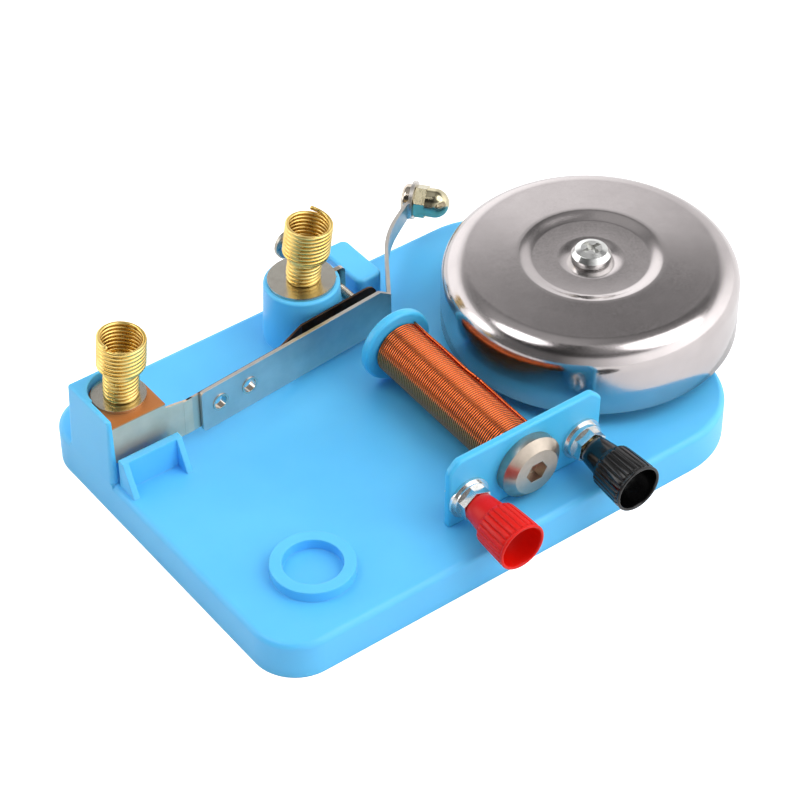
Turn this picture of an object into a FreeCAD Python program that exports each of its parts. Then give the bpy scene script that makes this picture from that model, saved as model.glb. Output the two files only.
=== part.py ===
import FreeCAD, Part
import math
import os
import re

import Sketcher
from FreeCAD import Placement, Rotation, Vector

# Electric bell demonstrator. Millimetres; +Z up, +X from the terminals' end to the gong, +Y to the back.
# The origin is the middle of the base's rest face.

DIMENSIONS = {
    # base moulding
    "base_length": 135.0,
    "base_width": 97.6,
    "base_height": 9.8,
    "corner_left": 10.8,
    "corner_right": 20.8,
    "edge_round": 1.5,
    "skirt_wall": 2.4,
    "deck_wall": 3.0,
    "mould_draft": 2.2,
    # housing of terminal 1, at the base's left side
    "housing_right": -51.2,
    "housing_front": 18.0,
    "housing_back": 36.1,
    "housing_top": 27.7,
    "housing_wall": 1.75,
    "housing_round": 1.2,
    # wall that guards the bronze strip from the front, with a gusset at each end
    "clip_left": -66.0,
    "clip_right": -50.3,
    "clip_front": 14.9,
    "clip_back": 16.8,
    "clip_top": 17.7,
    "gusset_foot": 11.0,
    "gusset_width": 1.5,
    # round boss of terminal 2, and the block behind the contact screw
    "boss_radius": 9.7,
    "boss_round": 0.7,
    "block_left": 12.0,
    "block_right": 19.2,
    "block_front": 33.0,
    "block_top": 19.5,
    "block_round": 1.8,
    # small ring cup on the deck
    "cup_x": -46.9,
    "cup_y": -30.8,
    "cup_radius": 9.55,
    "cup_bore": 6.8,
    "cup_depth": 2.7,
    # terminals: close-wound springs, each clamped by a screw through a washer
    "terminal_1_x": -58.4,
    "terminal_1_y": 27.4,
    "terminal_2_x": -2.3,
    "terminal_2_y": 36.1,
    "seat": 25.4,
    "washer_thick": 0.8,
    "washer_1_radius": 6.3,
    "washer_2_radius": 8.1,
    "spring_wire": 1.02,
    "spring_narrow": 4.15,
    "spring_wide": 5.65,
    "spring_1_shift": 0.45,
    "spring_1_step": 9.3,
    "spring_1_length": 17.2,
    "spring_1_lean": 4.6,
    "spring_2_shift": 0.35,
    "spring_2_step": 8.2,
    "spring_2_length": 16.4,
    "spring_2_lean": 7.2,
    "neck_gap": 1.2,
    "terminal_shank": 1.5,
    "terminal_head": 2.2,
    "terminal_nut": 3.18,
    "terminal_nut_seat": 12.0,
    "terminal_nut_thick": 2.4,
    # bronze strip: a tab on the housing, a wall down from it, then a leaf on the armature
    "strip_thick": 0.5,
    "strip_front": 18.9,
    "tab_left": -65.6,
    "tab_right": -51.6,
    "strip_low": 15.0,
    "strip_jog": -49.2,
    "leaf_low": 13.4,
    "leaf_high": 23.3,
    # armature: its hinge line is where the strip bends
    "hinge_x": -46.0,
    "hinge_gap": 0.1,
    "rest_angle": 4.8,
    "leaf_rise_start": 27.5,
    "leaf_rise_end": 36.0,
    "leaf_offset": 2.7,
    "leaf_end": 58.8,
    "leaf_corner": 3.0,
    "plate_thick": 0.9,
    "plate_start": 3.5,
    "plate_shoulder": 57.0,
    "plate_end": 60.3,
    "plate_low": 12.2,
    "plate_high": 23.7,
    "arm_low": 15.4,
    "arm_high": 21.4,
    "arm_straight": 15.6,
    "arm_bend": 31.0,
    "arm_tail": 6.0,
    "eye_radius": 4.8,
    "eye_jog": 1.5,
    "eye_z": 19.1,
    "arm_low_tip": 17.0,
    "eye_reach": 3.6,
    "eyelet_first": 8.7,
    "eyelet_pitch": 8.5,
    "eyelet_z": 18.4,
    "eyelet_radius": 1.85,
    "eyelet_bore": 1.7,
    "eyelet_rim": 2.2,
    "eyelet_rim_thick": 0.2,
    # hammer: a pan-head bolt with a cap nut
    "hammer_shank": 1.95,
    "hammer_head": 3.9,
    "hammer_head_thick": 2.2,
    "cap_hex": 4.25,
    "cap_hex_thick": 2.9,
    "cap_dome": 3.65,
    "cap_length": 8.5,
    # contact screw and its bracket
    "contact_x": 7.3,
    "contact_z": 19.3,
    "contact_radius": 1.25,
    "contact_tip": 27.05,
    "contact_back": 55.0,
    "contact_head": 4.0,
    "contact_head_thick": 1.8,
    "running_fit": 0.05,
    "bracket_thick": 0.8,
    "bracket_front": 34.0,
    "bracket_wall": 1.2,
    "bracket_right": 8.8,
    "bracket_low": 14.8,
    # electromagnet
    "coil_x": 5.75,
    "coil_up": 8.25,
    "former_lean": 1.6,
    "former_front": -38.0,
    "former_wall": 2.0,
    "former_left": -15.5,
    "former_right": 27.2,
    "former_tall": 18.7,
    "former_corner": 2.6,
    "tongue_left": -9.6,
    "tongue_right": 20.6,
    "tongue_depth": 1.5,
    "tube_radius": 4.6,
    "tube_bore": 3.1,
    "flange_back": 47.1,
    "flange_thick": 2.4,
    "flange_radius": 9.2,
    "winding_radius": 6.6,
    "lead_wire": 0.3,
    "lead_angle": 40.0,
    "core_radius": 3.0,
    "core_end": 51.2,
    "core_head": 8.0,
    "core_rim": 2.2,
    "core_face": 5.85,
    "core_head_thick": 4.1,
    "core_socket": 2.9,
    "core_socket_depth": 2.6,
    # binding posts
    "post_red_x": -10.3,
    "post_black_x": 21.45,
    "post_up": 6.8,
    "nut_turn_red": 38.0,
    "nut_turn_black": 23.2,
    "stud_radius": 2.0,
    "stud_back_radius": 1.5,
    "stud_back": 5.6,
    "stud_reach": 11.6,
    "post_washer": 5.2,
    "post_washer_thick": 0.7,
    "lock_washer": 4.5,
    "lock_washer_red": 0.8,
    "lock_washer_black": 1.5,
    "post_nut": 4.1,
    "post_nut_thick": 2.2,
    "back_nut": 3.18,
    "back_nut_thick": 1.8,
    "tag_thick": 0.5,
    "tag_radius": 3.0,
    "knob_start_red": 3.75,
    "knob_start_black": 4.85,
    "knob_length": 15.7,
    "knob_neck": 3.55,
    "knob_shoulder": 4.4,
    "knob_neck_length": 6.1,
    "knob_skirt": 5.1,
    "knob_mouth": 5.95,
    "knob_socket": 5.2,
    "knob_socket_depth": 8.0,
    "bush_radius": 2.95,
    "rib_height": 0.35,
    "rib_count": 24,
    # gong
    "gong_x": 52.3,
    "gong_y": -3.9,
    "gong_radius": 35.1,
    "gong_rim": 13.5,
    "gong_top": 32.2,
    "gong_sheet": 0.9,
    "gong_shoulder": 6.1,
    "gong_step": 15.2,
    "gong_step_half": 1.0,
    "gong_dish": 0.9,
    "pillar_radius": 6.5,
    "gong_shank": 2.45,
    "gong_head": 4.7,
    "gong_head_thick": 3.0,
    "gong_nut": 4.62,
    "gong_nut_seat": 14.0,
    "gong_nut_thick": 4.0,
}

doc = FreeCAD.newDocument("ElectricBell")
sheet = doc.addObject("Spreadsheet::Sheet", "Dims")
for row, (alias, number) in enumerate(DIMENSIONS.items(), start=1):
    sheet.set(f"A{row}", "'" + alias.replace("_", " "))
    sheet.set(f"B{row}", str(number))
    sheet.setAlias(f"B{row}", alias)
doc.recompute()

NODES = []
FRONTWARD = Rotation(Vector(1, 0, 0), 90)  # turns a piece's own +Z to the bell's -Y


# ---- the sheet ----

def qualified(expression):
    """Write each alias in an expression as a cell of the sheet."""
    return re.sub(r"\b(?!(?:sin|cos|deg)\b)([a-z]\w*)\b", r"Dims.\1", expression)


def value(expression):
    """The number that an expression of aliases has now."""
    return float(sheet.evalExpression(qualified(expression)))


def bind(item, prop, expression):
    item.setExpression(prop, qualified(expression))


# ---- placing and keeping the sub-parts ----

def place(item, at, rotation=None):
    """Put an item at three expressions, turned by a fixed rotation."""
    item.Placement = Placement(Vector(*[value(number) for number in at]), rotation or Rotation())
    for letter, expression in zip("xyz", at):
        bind(item, f"Placement.Base.{letter}", expression)


def keep(item, name):
    """List an item as a sub-part, under the name of its file."""
    item.Label = name
    NODES.append(item)
    return item


def new_body(name, at=("0", "0", "0"), rotation=None):
    part = doc.addObject("PartDesign::Body", name)
    place(part, at, rotation)
    return keep(part, name)


# ---- sketches ----

PLANES = {"top": "XY_Plane", "front": "XZ_Plane", "side": "YZ_Plane"}


def new_sketch(part, name, plane, offset="0"):
    """A sketch on the body's own plane; the front plane's offset counts towards -Y."""
    support = next(item for item in part.Origin.OriginFeatures if item.Role == PLANES[plane])
    drawing = part.newObject("Sketcher::SketchObject", name)
    drawing.AttachmentSupport = [(support, "")]
    drawing.MapMode = "FlatFace"
    bind(drawing, "AttachmentOffset.Base.z", offset)
    return drawing


def hold(drawing, kind, element, point, expression):
    """Fix one coordinate of a sketch point, measured from the sketch's origin."""
    if expression == "0":
        axis = -2 if kind == "DistanceX" else -1
        drawing.addConstraint(Sketcher.Constraint("PointOnObject", element, point, axis))
        return
    constraint = Sketcher.Constraint(kind, -1, 1, element, point, value(expression))
    index = drawing.addConstraint(constraint)
    bind(drawing, f"Constraints[{index}]", expression)


def polygon(drawing, points):
    """A closed outline of straight lines through points given as pairs of expressions."""
    corners = [Vector(value(x), value(y), 0) for x, y in points]
    first = drawing.GeometryCount
    for start, end in zip(corners, corners[1:] + corners[:1]):
        drawing.addGeometry(Part.LineSegment(start, end))
    for index, (x, y) in enumerate(points):
        before = first + (index - 1) % len(points)
        drawing.addConstraint(Sketcher.Constraint("Coincident", before, 2, first + index, 1))
        hold(drawing, "DistanceX", first + index, 1, x)
        hold(drawing, "DistanceY", first + index, 1, y)


def rectangle(drawing, left, right, low, high):
    polygon(drawing, [(left, low), (right, low), (right, high), (left, high)])


def circle(drawing, x, y, radius):
    centre = Vector(value(x), value(y), 0)
    index = drawing.addGeometry(Part.Circle(centre, Vector(0, 0, 1), value(radius)))
    hold(drawing, "DistanceX", index, 3, x)
    hold(drawing, "DistanceY", index, 3, y)
    size = drawing.addConstraint(Sketcher.Constraint("Radius", index, value(radius)))
    bind(drawing, f"Constraints[{size}]", radius)


def hexagon(drawing, radius):
    """A regular hexagon about the sketch's origin, its corners on a circle."""
    half = f"{radius} / 2"
    tall = f"{radius} * {math.sqrt(3) / 2:.6f}"
    polygon(drawing, [(radius, "0"), (half, tall), (f"-{half}", tall),
                      (f"-{radius}", "0"), (f"-{half}", f"-{tall}"), (half, f"-{tall}")])


def rounded_rectangle(drawing, sides, radii):
    """Four lines and four tangent arcs; sides are left, right, low, high, and radii left, right."""
    left, right, low, high = sides
    x0, x1, y0, y1 = (value(text) for text in sides)
    r0, r1 = (value(text) for text in radii)
    lines = [((x0 + r0, y0), (x1 - r1, y0)), ((x1, y0 + r1), (x1, y1 - r1)),
             ((x1 - r1, y1), (x0 + r0, y1)), ((x0, y1 - r0), (x0, y0 + r0))]
    arcs = [(x1 - r1, y0 + r1, r1), (x1 - r1, y1 - r1, r1), (x0 + r0, y1 - r0, r0), (x0 + r0, y0 + r0, r0)]
    for start, end in lines:
        drawing.addGeometry(Part.LineSegment(Vector(*start, 0), Vector(*end, 0)))
    for quarter, (centre_x, centre_y, radius) in enumerate(arcs):
        ring = Part.Circle(Vector(centre_x, centre_y, 0), Vector(0, 0, 1), radius)
        first = (quarter - 1) * math.pi / 2
        drawing.addGeometry(Part.ArcOfCircle(ring, first, first + math.pi / 2))
    for side in range(4):
        drawing.addConstraint(Sketcher.Constraint("Tangent", side, 2, 4 + side, 1))
        drawing.addConstraint(Sketcher.Constraint("Tangent", 4 + side, 2, (side + 1) % 4, 1))
    drawing.addConstraint(Sketcher.Constraint("Horizontal", 0))
    for arc, radius in ((4, radii[1]), (5, radii[1]), (6, radii[0]), (7, radii[0])):
        index = drawing.addConstraint(Sketcher.Constraint("Radius", arc, value(radius)))
        bind(drawing, f"Constraints[{index}]", radius)
    hold(drawing, "DistanceY", 0, 1, low)
    hold(drawing, "DistanceX", 1, 1, right)
    hold(drawing, "DistanceY", 2, 1, high)
    hold(drawing, "DistanceX", 3, 1, left)


def base_outline(drawing, inset):
    """The base's outline, inset by a wall, with one corner radius at the left and one at the right."""
    half_x = f"(base_length / 2 - {inset})"
    half_y = f"(base_width / 2 - {inset})"
    rounded_rectangle(drawing, (f"-{half_x}", half_x, f"-{half_y}", half_y),
                      (f"(corner_left - {inset})", f"(corner_right - {inset})"))


# ---- features ----

def worked_out(feature):
    """Recompute, and stop where the feature has failed."""
    doc.recompute()
    if not feature.isValid() or "Touched" in feature.State:
        raise RuntimeError(f"{feature.Name} failed: {feature.State}")
    return feature


def add(part, name, plane, start, length, draw, draft="0"):
    """Pad a drawing from the start offset along its plane's normal, drawn in by a draft in degrees."""
    drawing = new_sketch(part, f"{name}_outline", plane, start)
    draw(drawing)
    feature = part.newObject("PartDesign::Pad", name)
    feature.Profile = drawing
    bind(feature, "Length", length)
    bind(feature, "TaperAngle", f"-{draft}")
    return worked_out(feature)


def cut(part, name, plane, start, length, draw):
    """Pocket a drawing from the start offset along its plane's normal."""
    before = part.Shape.Volume
    drawing = new_sketch(part, f"{name}_outline", plane, start)
    draw(drawing)
    feature = part.newObject("PartDesign::Pocket", name)
    feature.Profile = drawing
    feature.Reversed = True
    bind(feature, "Length", length)
    worked_out(feature)
    if part.Shape.Volume >= before:
        raise RuntimeError(f"{name} cuts nothing")
    return feature


def soften(part, name, radius, wanted):
    """Fillet the tip's edges that the test picks."""
    tip = part.Tip
    picked = [f"Edge{number}" for number, edge in enumerate(tip.Shape.Edges, start=1) if wanted(edge)]
    if not picked:
        raise RuntimeError(f"{name} finds no edge")
    feature = part.newObject("PartDesign::Fillet", name)
    feature.Base = (tip, picked)
    bind(feature, "Radius", radius)
    return worked_out(feature)


def spin(part, name, points, angle="360"):
    """Revolve an outline of radius and height about the body's own Z axis."""
    drawing = new_sketch(part, f"{name}_outline", "front")
    polygon(drawing, points)
    feature = part.newObject("PartDesign::Revolution", name)
    feature.Profile = drawing
    feature.ReferenceAxis = (drawing, ["V_Axis"])
    bind(feature, "Angle", angle)
    return worked_out(feature)


def turned(name, points, at, rotation=None):
    """A sub-part turned about its own Z axis."""
    part = new_body(name, at, rotation)
    spin(part, f"{name}_turning", points)
    return part


def level(edge, height):
    """Whether an edge lies flat at a height."""
    box = edge.BoundBox
    return abs(box.ZMin - height) < 1e-4 and abs(box.ZMax - height) < 1e-4


def near(edge, x=None, y=None, z=None):
    """Whether an edge's middle has the given coordinates."""
    box = edge.BoundBox
    pairs = ((x, box.Center.x), (y, box.Center.y), (z, box.Center.z))
    return all(want is None or abs(want - have) < 0.02 for want, have in pairs)


# ---- fasteners from primitives ----

def ring(name, outer, inner, length, at, rotation=None):
    """A flat washer or tube along its own Z axis."""
    disc = doc.addObject("Part::Cylinder", f"{name}_disc")
    bind(disc, "Radius", outer)
    bind(disc, "Height", length)
    bore = doc.addObject("Part::Cylinder", f"{name}_bore")
    bind(bore, "Radius", inner)
    bind(bore, "Height", length)
    part = doc.addObject("Part::Cut", name)
    part.Base = disc
    part.Tool = bore
    place(part, at, rotation)
    return keep(part, name)


def hex_nut(name, corner, inner, length, at, rotation=None):
    """A hexagon nut along its own Z axis, its corners on a circle."""
    block = doc.addObject("Part::Prism", f"{name}_block")
    block.Polygon = 6
    bind(block, "Circumradius", corner)
    bind(block, "Height", length)
    bore = doc.addObject("Part::Cylinder", f"{name}_bore")
    bind(bore, "Radius", inner)
    bind(bore, "Height", length)
    part = doc.addObject("Part::Cut", name)
    part.Base = block
    part.Tool = bore
    place(part, at, rotation)
    return keep(part, name)


# ---- base ----

def base_moulding():
    """The blue moulding: hollow deck, housing, clip wall, boss, block, ring cup and gong pillar."""
    part = new_body("base_moulding")
    add(part, "deck", "top", "0", "base_height", lambda d: base_outline(d, "0"))
    soften(part, "deck_round", "edge_round", lambda e: level(e, value("base_height")))
    housing(part)
    terminal_boss(part)
    screw_block(part)
    add(part, "ring_cup", "top", "base_height - 1", "cup_depth + 1",
        lambda d: circle(d, "cup_x", "cup_y", "cup_radius"))
    cut(part, "ring_cup_bore", "top", "base_height", "cup_depth + 1",
        lambda d: circle(d, "cup_x", "cup_y", "cup_bore"))
    add(part, "pillar", "top", "base_height - 1", "gong_top - gong_dish - gong_sheet - base_height + 1",
        lambda d: circle(d, "gong_x", "gong_y", "pillar_radius"))
    cut(part, "hollow", "top", "-1", "base_height - deck_wall + 1",
        lambda d: base_outline(d, "skirt_wall"))
    coil_seat(part)
    screw_holes(part)


def housing(part):
    """The tall corner that holds terminal 1, open to the front for the bronze strip."""
    left = "-base_length / 2"
    sides = (left, "housing_right", "housing_front", "housing_back")
    add(part, "housing_foot", "top", "0", "base_height",
        lambda d: rectangle(d, left, f"{left} + 4", "housing_front", "housing_back"))
    add(part, "housing_block", "top", "base_height - 0.01", "housing_top - base_height + 0.01",
        lambda d: rounded_rectangle(d, sides, ("housing_round", "housing_round")), "mould_draft")
    soften(part, "housing_rim", "housing_round / 2", lambda e: level(e, value("housing_top")))
    inner = f"({left} + housing_wall)"
    cut(part, "tab_recess", "top", "seat - strip_thick", "10",
        lambda d: rectangle(d, inner, "housing_right + 1", "housing_front - 1", "terminal_1_y"))
    cut(part, "washer_recess", "top", "seat - strip_thick", "10",
        lambda d: circle(d, "terminal_1_x", "terminal_1_y", "washer_1_radius + 0.6"))
    cut(part, "strip_slot", "top", "base_height", "30",
        lambda d: rectangle(d, inner, "housing_right + 1", "housing_front - 1",
                            "strip_front + strip_thick + 0.1"))
    add(part, "clip_wall", "top", "base_height - 1", "clip_top - base_height + 1",
        lambda d: rectangle(d, "clip_left", "clip_right", "clip_front", "clip_back"))
    for side, start in (("left", "clip_left"), ("right", "clip_right - gusset_width")):
        add(part, f"gusset_{side}", "side", start, "gusset_width",
            lambda d: polygon(d, [("clip_front + 0.5", "base_height - 1"), ("clip_front + 0.5", "clip_top"),
                                  ("clip_front", "clip_top"), ("gusset_foot", "base_height"),
                                  ("gusset_foot", "base_height - 1")]))


def terminal_boss(part):
    """The round boss of terminal 2, slotted for the bracket and grooved for the contact screw."""
    add(part, "boss", "top", "base_height - 1", "seat - base_height + 1",
        lambda d: circle(d, "terminal_2_x", "terminal_2_y", "boss_radius"), "mould_draft")
    soften(part, "boss_rim", "boss_round", lambda e: level(e, value("seat")))
    cut(part, "bracket_recess", "top", "seat - bracket_thick", "5",
        lambda d: rectangle(d, "terminal_2_x - 4.4", "terminal_2_x + 7.4", "terminal_2_y - 4.1",
                            "terminal_2_y + 4.1"))
    cut(part, "bracket_slot", "top", "bracket_low - 0.1", "20",
        lambda d: rectangle(d, "terminal_2_x + 4.2", "bracket_right + 1", "bracket_front - 0.1",
                            "bracket_front + bracket_wall + 0.1"))
    cut(part, "screw_groove", "front", "-(terminal_2_y + 8)", "16",
        lambda d: circle(d, "contact_x", "contact_z", "contact_radius + 0.4"))


def screw_block(part):
    """The square block beside the contact screw, flush with the base's back."""
    sides = ("block_left", "block_right", "block_front", "base_width / 2")
    add(part, "block", "top", "0", "block_top",
        lambda d: rounded_rectangle(d, sides, ("block_round", "block_round")))
    soften(part, "block_rim", "block_round / 2", lambda e: level(e, value("block_top")))


def coil_seat(part):
    """The slot in the deck for the coil former's tongue."""
    cut(part, "tongue_slot", "top", "base_height - tongue_depth - 0.1", "5",
        lambda d: rectangle(d, "tongue_left - 0.1", "tongue_right + 0.1", "former_front - 0.1",
                            "former_front + former_wall + 0.2"))


def screw_holes(part):
    """The holes of both terminals' and the gong's screws, with a nut pocket under each."""
    for number in (1, 2):
        x = f"terminal_{number}_x"
        y = f"terminal_{number}_y"
        cut(part, f"terminal_{number}_hole", "top", "0", "seat + 5",
            lambda d: circle(d, x, y, "terminal_shank + 0.1"))
        cut(part, f"terminal_{number}_pocket", "top", "0", "terminal_nut_seat",
            lambda d: circle(d, x, y, "terminal_nut + 0.15"))
    cut(part, "gong_hole", "top", "0", "gong_top + 5",
        lambda d: circle(d, "gong_x", "gong_y", "gong_shank + 0.1"))
    cut(part, "gong_pocket", "top", "0", "gong_nut_seat",
        lambda d: circle(d, "gong_x", "gong_y", "gong_nut + 0.15"))


# ---- terminals ----

LEAN_AXIS = Vector(0.592, 0.806, 0)  # both springs lean to the front right


def terminal(number):
    """One spring terminal: washer, screw, nut, the spring's clamped foot and its free top."""
    x = f"terminal_{number}_x"
    y = f"terminal_{number}_y"
    foot = "seat + washer_thick"
    ring(f"terminal_{number}_washer", f"washer_{number}_radius", "terminal_shank + 0.1", "washer_thick",
         (x, y, "seat"))
    turned(f"terminal_{number}_screw",
           [("0", "terminal_nut_seat - terminal_nut_thick - 0.6"),
            ("terminal_shank", "terminal_nut_seat - terminal_nut_thick - 0.6"), ("terminal_shank", foot),
            ("terminal_head", foot), ("terminal_head", f"{foot} + 1.4"),
            ("terminal_head - 0.7", f"{foot} + 2"), ("0", f"{foot} + 2")], (x, y, "0"))
    hex_nut(f"terminal_{number}_nut", "terminal_nut", "terminal_shank", "terminal_nut_thick",
            (x, y, "terminal_nut_seat - terminal_nut_thick"))
    spring(number, (f"{x} + spring_{number}_shift", f"{y} - spring_{number}_shift", foot))


def spring(number, at):
    """A terminal's spring, leaning as a whole: a narrow foot, and a top that widens to a cup."""
    lean = Rotation(LEAN_AXIS, value(f"spring_{number}_lean"))
    start = f"spring_narrow * sin(spring_{number}_lean * 1 deg)"
    step = f"spring_{number}_step"
    top = f"spring_{number}_length"
    cone = f"{step} - (spring_wide - spring_narrow)"
    turned(f"terminal_{number}_spring_foot",
           [("spring_narrow - spring_wire", start), ("spring_narrow", start),
            ("spring_narrow", f"{cone} - neck_gap"), ("spring_narrow - spring_wire", f"{cone} - neck_gap")],
           at, lean)
    turned(f"terminal_{number}_spring_top",
           [("spring_narrow", cone), ("spring_wide", step), ("spring_wide", top),
            ("spring_wide - spring_wire", top), ("spring_wide - spring_wire", f"{step} + 0.3"),
            ("spring_narrow - spring_wire", f"{cone} + 0.3"), ("spring_narrow - spring_wire", cone)],
           at, lean)


# ---- bronze strip and armature ----

def contact_strip_mount():
    """The strip's clamped end: a tab under terminal 1's washer and a wall down from it."""
    part = new_body("contact_strip_mount")
    add(part, "tab", "top", "seat - strip_thick", "strip_thick",
        lambda d: rectangle(d, "tab_left", "tab_right", "strip_front", "terminal_1_y"))
    add(part, "tab_end", "top", "seat - strip_thick", "strip_thick",
        lambda d: circle(d, "terminal_1_x", "terminal_1_y", "washer_1_radius + 0.5"))
    end = "hinge_x - hinge_gap"
    add(part, "strip_wall", "front", "-(strip_front + strip_thick)", "strip_thick",
        lambda d: polygon(d, [("tab_left", "strip_low"), ("strip_jog", "strip_low"),
                              ("strip_jog + 1", "leaf_low"), (end, "leaf_low"), (end, "leaf_high"),
                              ("tab_right + 2.6", "leaf_high + 0.5"), ("tab_right", "leaf_high + 0.8"),
                              ("tab_right", "seat"), ("tab_left", "seat")]))
    cut(part, "tab_hole", "top", "seat - strip_thick - 1", "3",
        lambda d: circle(d, "terminal_1_x", "terminal_1_y", "terminal_shank + 0.1"))


ARMATURE_AT = ("hinge_x", "strip_front + strip_thick / 2", "0")
ARMATURE_TURN = Rotation(Vector(0, 0, 1), value("rest_angle"))


def contact_leaf():
    """The strip's free length: flat on the armature, then stepped back to meet the contact screw."""
    part = new_body("contact_leaf", ARMATURE_AT, ARMATURE_TURN)
    half = "strip_thick / 2"
    add(part, "leaf", "top", "leaf_low", "leaf_high - leaf_low",
        lambda d: polygon(d, [("hinge_gap", f"-{half}"), ("leaf_rise_start", f"-{half}"),
                              ("leaf_rise_end", f"leaf_offset - {half}"),
                              ("leaf_end", f"leaf_offset - {half}"), ("leaf_end", f"leaf_offset + {half}"),
                              ("leaf_rise_end", f"leaf_offset + {half}"),
                              ("leaf_rise_start", half), ("hinge_gap", half)]))
    ends = (value("leaf_low"), value("leaf_high"))
    soften(part, "leaf_tip", "leaf_corner",
           lambda e: near(e, value("leaf_end"), value("leaf_offset")) and
           min(abs(e.BoundBox.Center.z - z) for z in ends) < 0.01)
    cut(part, "leaf_holes", "front", "-2", "4", eyelet_circles)


def eyelet_circles(drawing):
    for x in ("eyelet_first", "eyelet_first + eyelet_pitch"):
        circle(drawing, x, "eyelet_z", "eyelet_radius")


def heading(degrees):
    """The level unit vector at an angle from +X."""
    return Vector(math.cos(math.radians(degrees)), math.sin(math.radians(degrees)), 0)


ARM_START = 51.0  # headings of the hammer arm in the armature's own frame, in degrees
ARM_END = 26.0
JOG_HEADING = 0.0
EYE_HEADING = 34.9
NUT_TURN = 34.5  # where the cap nut's first corner is, from the level


def arm_route():
    """The arm's middle line: its start, its bend's start, centre and end, two elbows and the eye's centre."""
    start = Vector(value("plate_end") - 0.3, -value("strip_thick / 2 + plate_thick / 2"), 0)
    bend = start + heading(ARM_START) * value("arm_straight")
    centre = bend + heading(ARM_START - 90) * value("arm_bend")
    tail = centre - heading(ARM_END - 90) * value("arm_bend")
    elbow = tail + heading(ARM_END) * value("arm_tail")
    jog = elbow + heading(JOG_HEADING) * value("eye_jog")
    eye = jog + heading(EYE_HEADING) * value("eye_reach")
    return start, bend, centre, tail, elbow, jog, eye


def strap(start, end, low, high):
    """A straight stretch of sheet between two points of its middle line."""
    along = end - start
    side = Vector(-along.y, along.x, 0).normalize() * (value("plate_thick") / 2)
    corners = [start + side, end + side, end - side, start - side, start + side]
    outline = Part.makePolygon([corner + Vector(0, 0, low) for corner in corners])
    return Part.Face(outline).extrude(Vector(0, 0, high - low))


def bent_strap(centre, first, last, low, high):
    """A curved stretch of sheet about a centre, between two headings of its radius."""
    radius = value("arm_bend")
    half = value("plate_thick") / 2
    turn = last - first
    outer = Part.makeCylinder(radius + half, high - low, centre + Vector(0, 0, low), Vector(0, 0, 1), turn)
    inner = Part.makeCylinder(radius - half, high - low, centre + Vector(0, 0, low), Vector(0, 0, 1), turn)
    sheet_piece = outer.cut(inner)
    sheet_piece.rotate(centre, Vector(0, 0, 1), first)
    return sheet_piece


def armature_plate():
    """One steel stamping: the wide plate before the core and the bent arm that carries the hammer."""
    back = -value("strip_thick") / 2
    thick = value("plate_thick")
    outline = [("plate_start", "plate_low"), ("plate_shoulder", "plate_low"), ("plate_end", "arm_low"),
               ("plate_end", "arm_high"), ("plate_shoulder", "plate_high"), ("plate_start", "plate_high")]
    corners = [Vector(value(x), back, value(z)) for x, z in outline]
    plate = Part.Face(Part.makePolygon(corners + corners[:1])).extrude(Vector(0, -thick, 0))
    ends = [edge for edge in plate.Edges if abs(edge.BoundBox.Center.x - value("plate_start")) < 1e-3
            and edge.BoundBox.ZLength < 1e-3]
    plate = plate.makeFillet(1.0, ends)
    start, bend, centre, tail, elbow, jog, eye = arm_route()
    low = value("arm_low")
    high = value("arm_high")
    axis = heading(EYE_HEADING - 90)
    middle = Vector(0, 0, value("eye_z"))
    arm = strap(start, bend, low, high)
    arm = arm.fuse(bent_strap(centre, ARM_END + 90, ARM_START + 90, low, high))
    arm = arm.fuse(strap(tail, elbow + heading(ARM_END) * 0.2, low, high))
    arm = arm.fuse(strap(elbow, jog + heading(JOG_HEADING) * 0.2, low, high))
    arm = arm.fuse(strap(jog, eye, low, high))
    tip = value("arm_low_tip")
    wedge = [Vector(start.x, -10, low), Vector(eye.x, -10, tip), Vector(eye.x + 10, -10, tip),
             Vector(eye.x + 10, -10, low - 5), Vector(start.x, -10, low - 5)]
    arm = arm.cut(Part.Face(Part.makePolygon(wedge + wedge[:1])).extrude(Vector(0, 60, 0)))
    arm = arm.fuse(Part.makeCylinder(value("eye_radius"), thick, eye + middle - axis * (thick / 2), axis))
    shape = plate.fuse(arm)
    shape = shape.cut(Part.makeCylinder(value("hammer_shank") + 0.02, 4, eye + middle - axis * 2, axis))
    for x in (value("eyelet_first"), value("eyelet_first + eyelet_pitch")):
        hole = Vector(x, back + 1, value("eyelet_z"))
        shape = shape.cut(Part.makeCylinder(value("eyelet_radius"), thick + 2, hole, Vector(0, -1, 0)))
    part = doc.addObject("Part::Feature", "armature_plate")
    part.Shape = shape.removeSplitter()
    place(part, ARMATURE_AT, ARMATURE_TURN)
    keep(part, "armature_plate")


def armature_eyelets():
    """Two tubular eyelets that clench the leaf to the armature."""
    front = "-(strip_thick / 2 + plate_thick)"
    back = "strip_thick / 2"
    outline = [("eyelet_bore", f"{front} - eyelet_rim_thick"), ("eyelet_rim", f"{front} - eyelet_rim_thick"),
               ("eyelet_rim", front), ("eyelet_radius", front), ("eyelet_radius", back),
               ("eyelet_rim", back), ("eyelet_rim", f"{back} + eyelet_rim_thick"),
               ("eyelet_bore", f"{back} + eyelet_rim_thick")]
    rivets = []
    for x in ("eyelet_first", "eyelet_first + eyelet_pitch"):
        points = [Vector(value(radius), value(y), 0) for radius, y in outline]
        face = Part.Face(Part.makePolygon(points + points[:1]))
        rivet = face.revolve(Vector(0, 0, 0), Vector(0, 1, 0), 360)
        rivet.translate(Vector(value(x), 0, value("eyelet_z")))
        rivets.append(rivet)
    part = doc.addObject("Part::Feature", "armature_eyelets")
    part.Shape = Part.makeCompound(rivets)
    place(part, ARMATURE_AT, ARMATURE_TURN)
    keep(part, "armature_eyelets")


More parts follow.
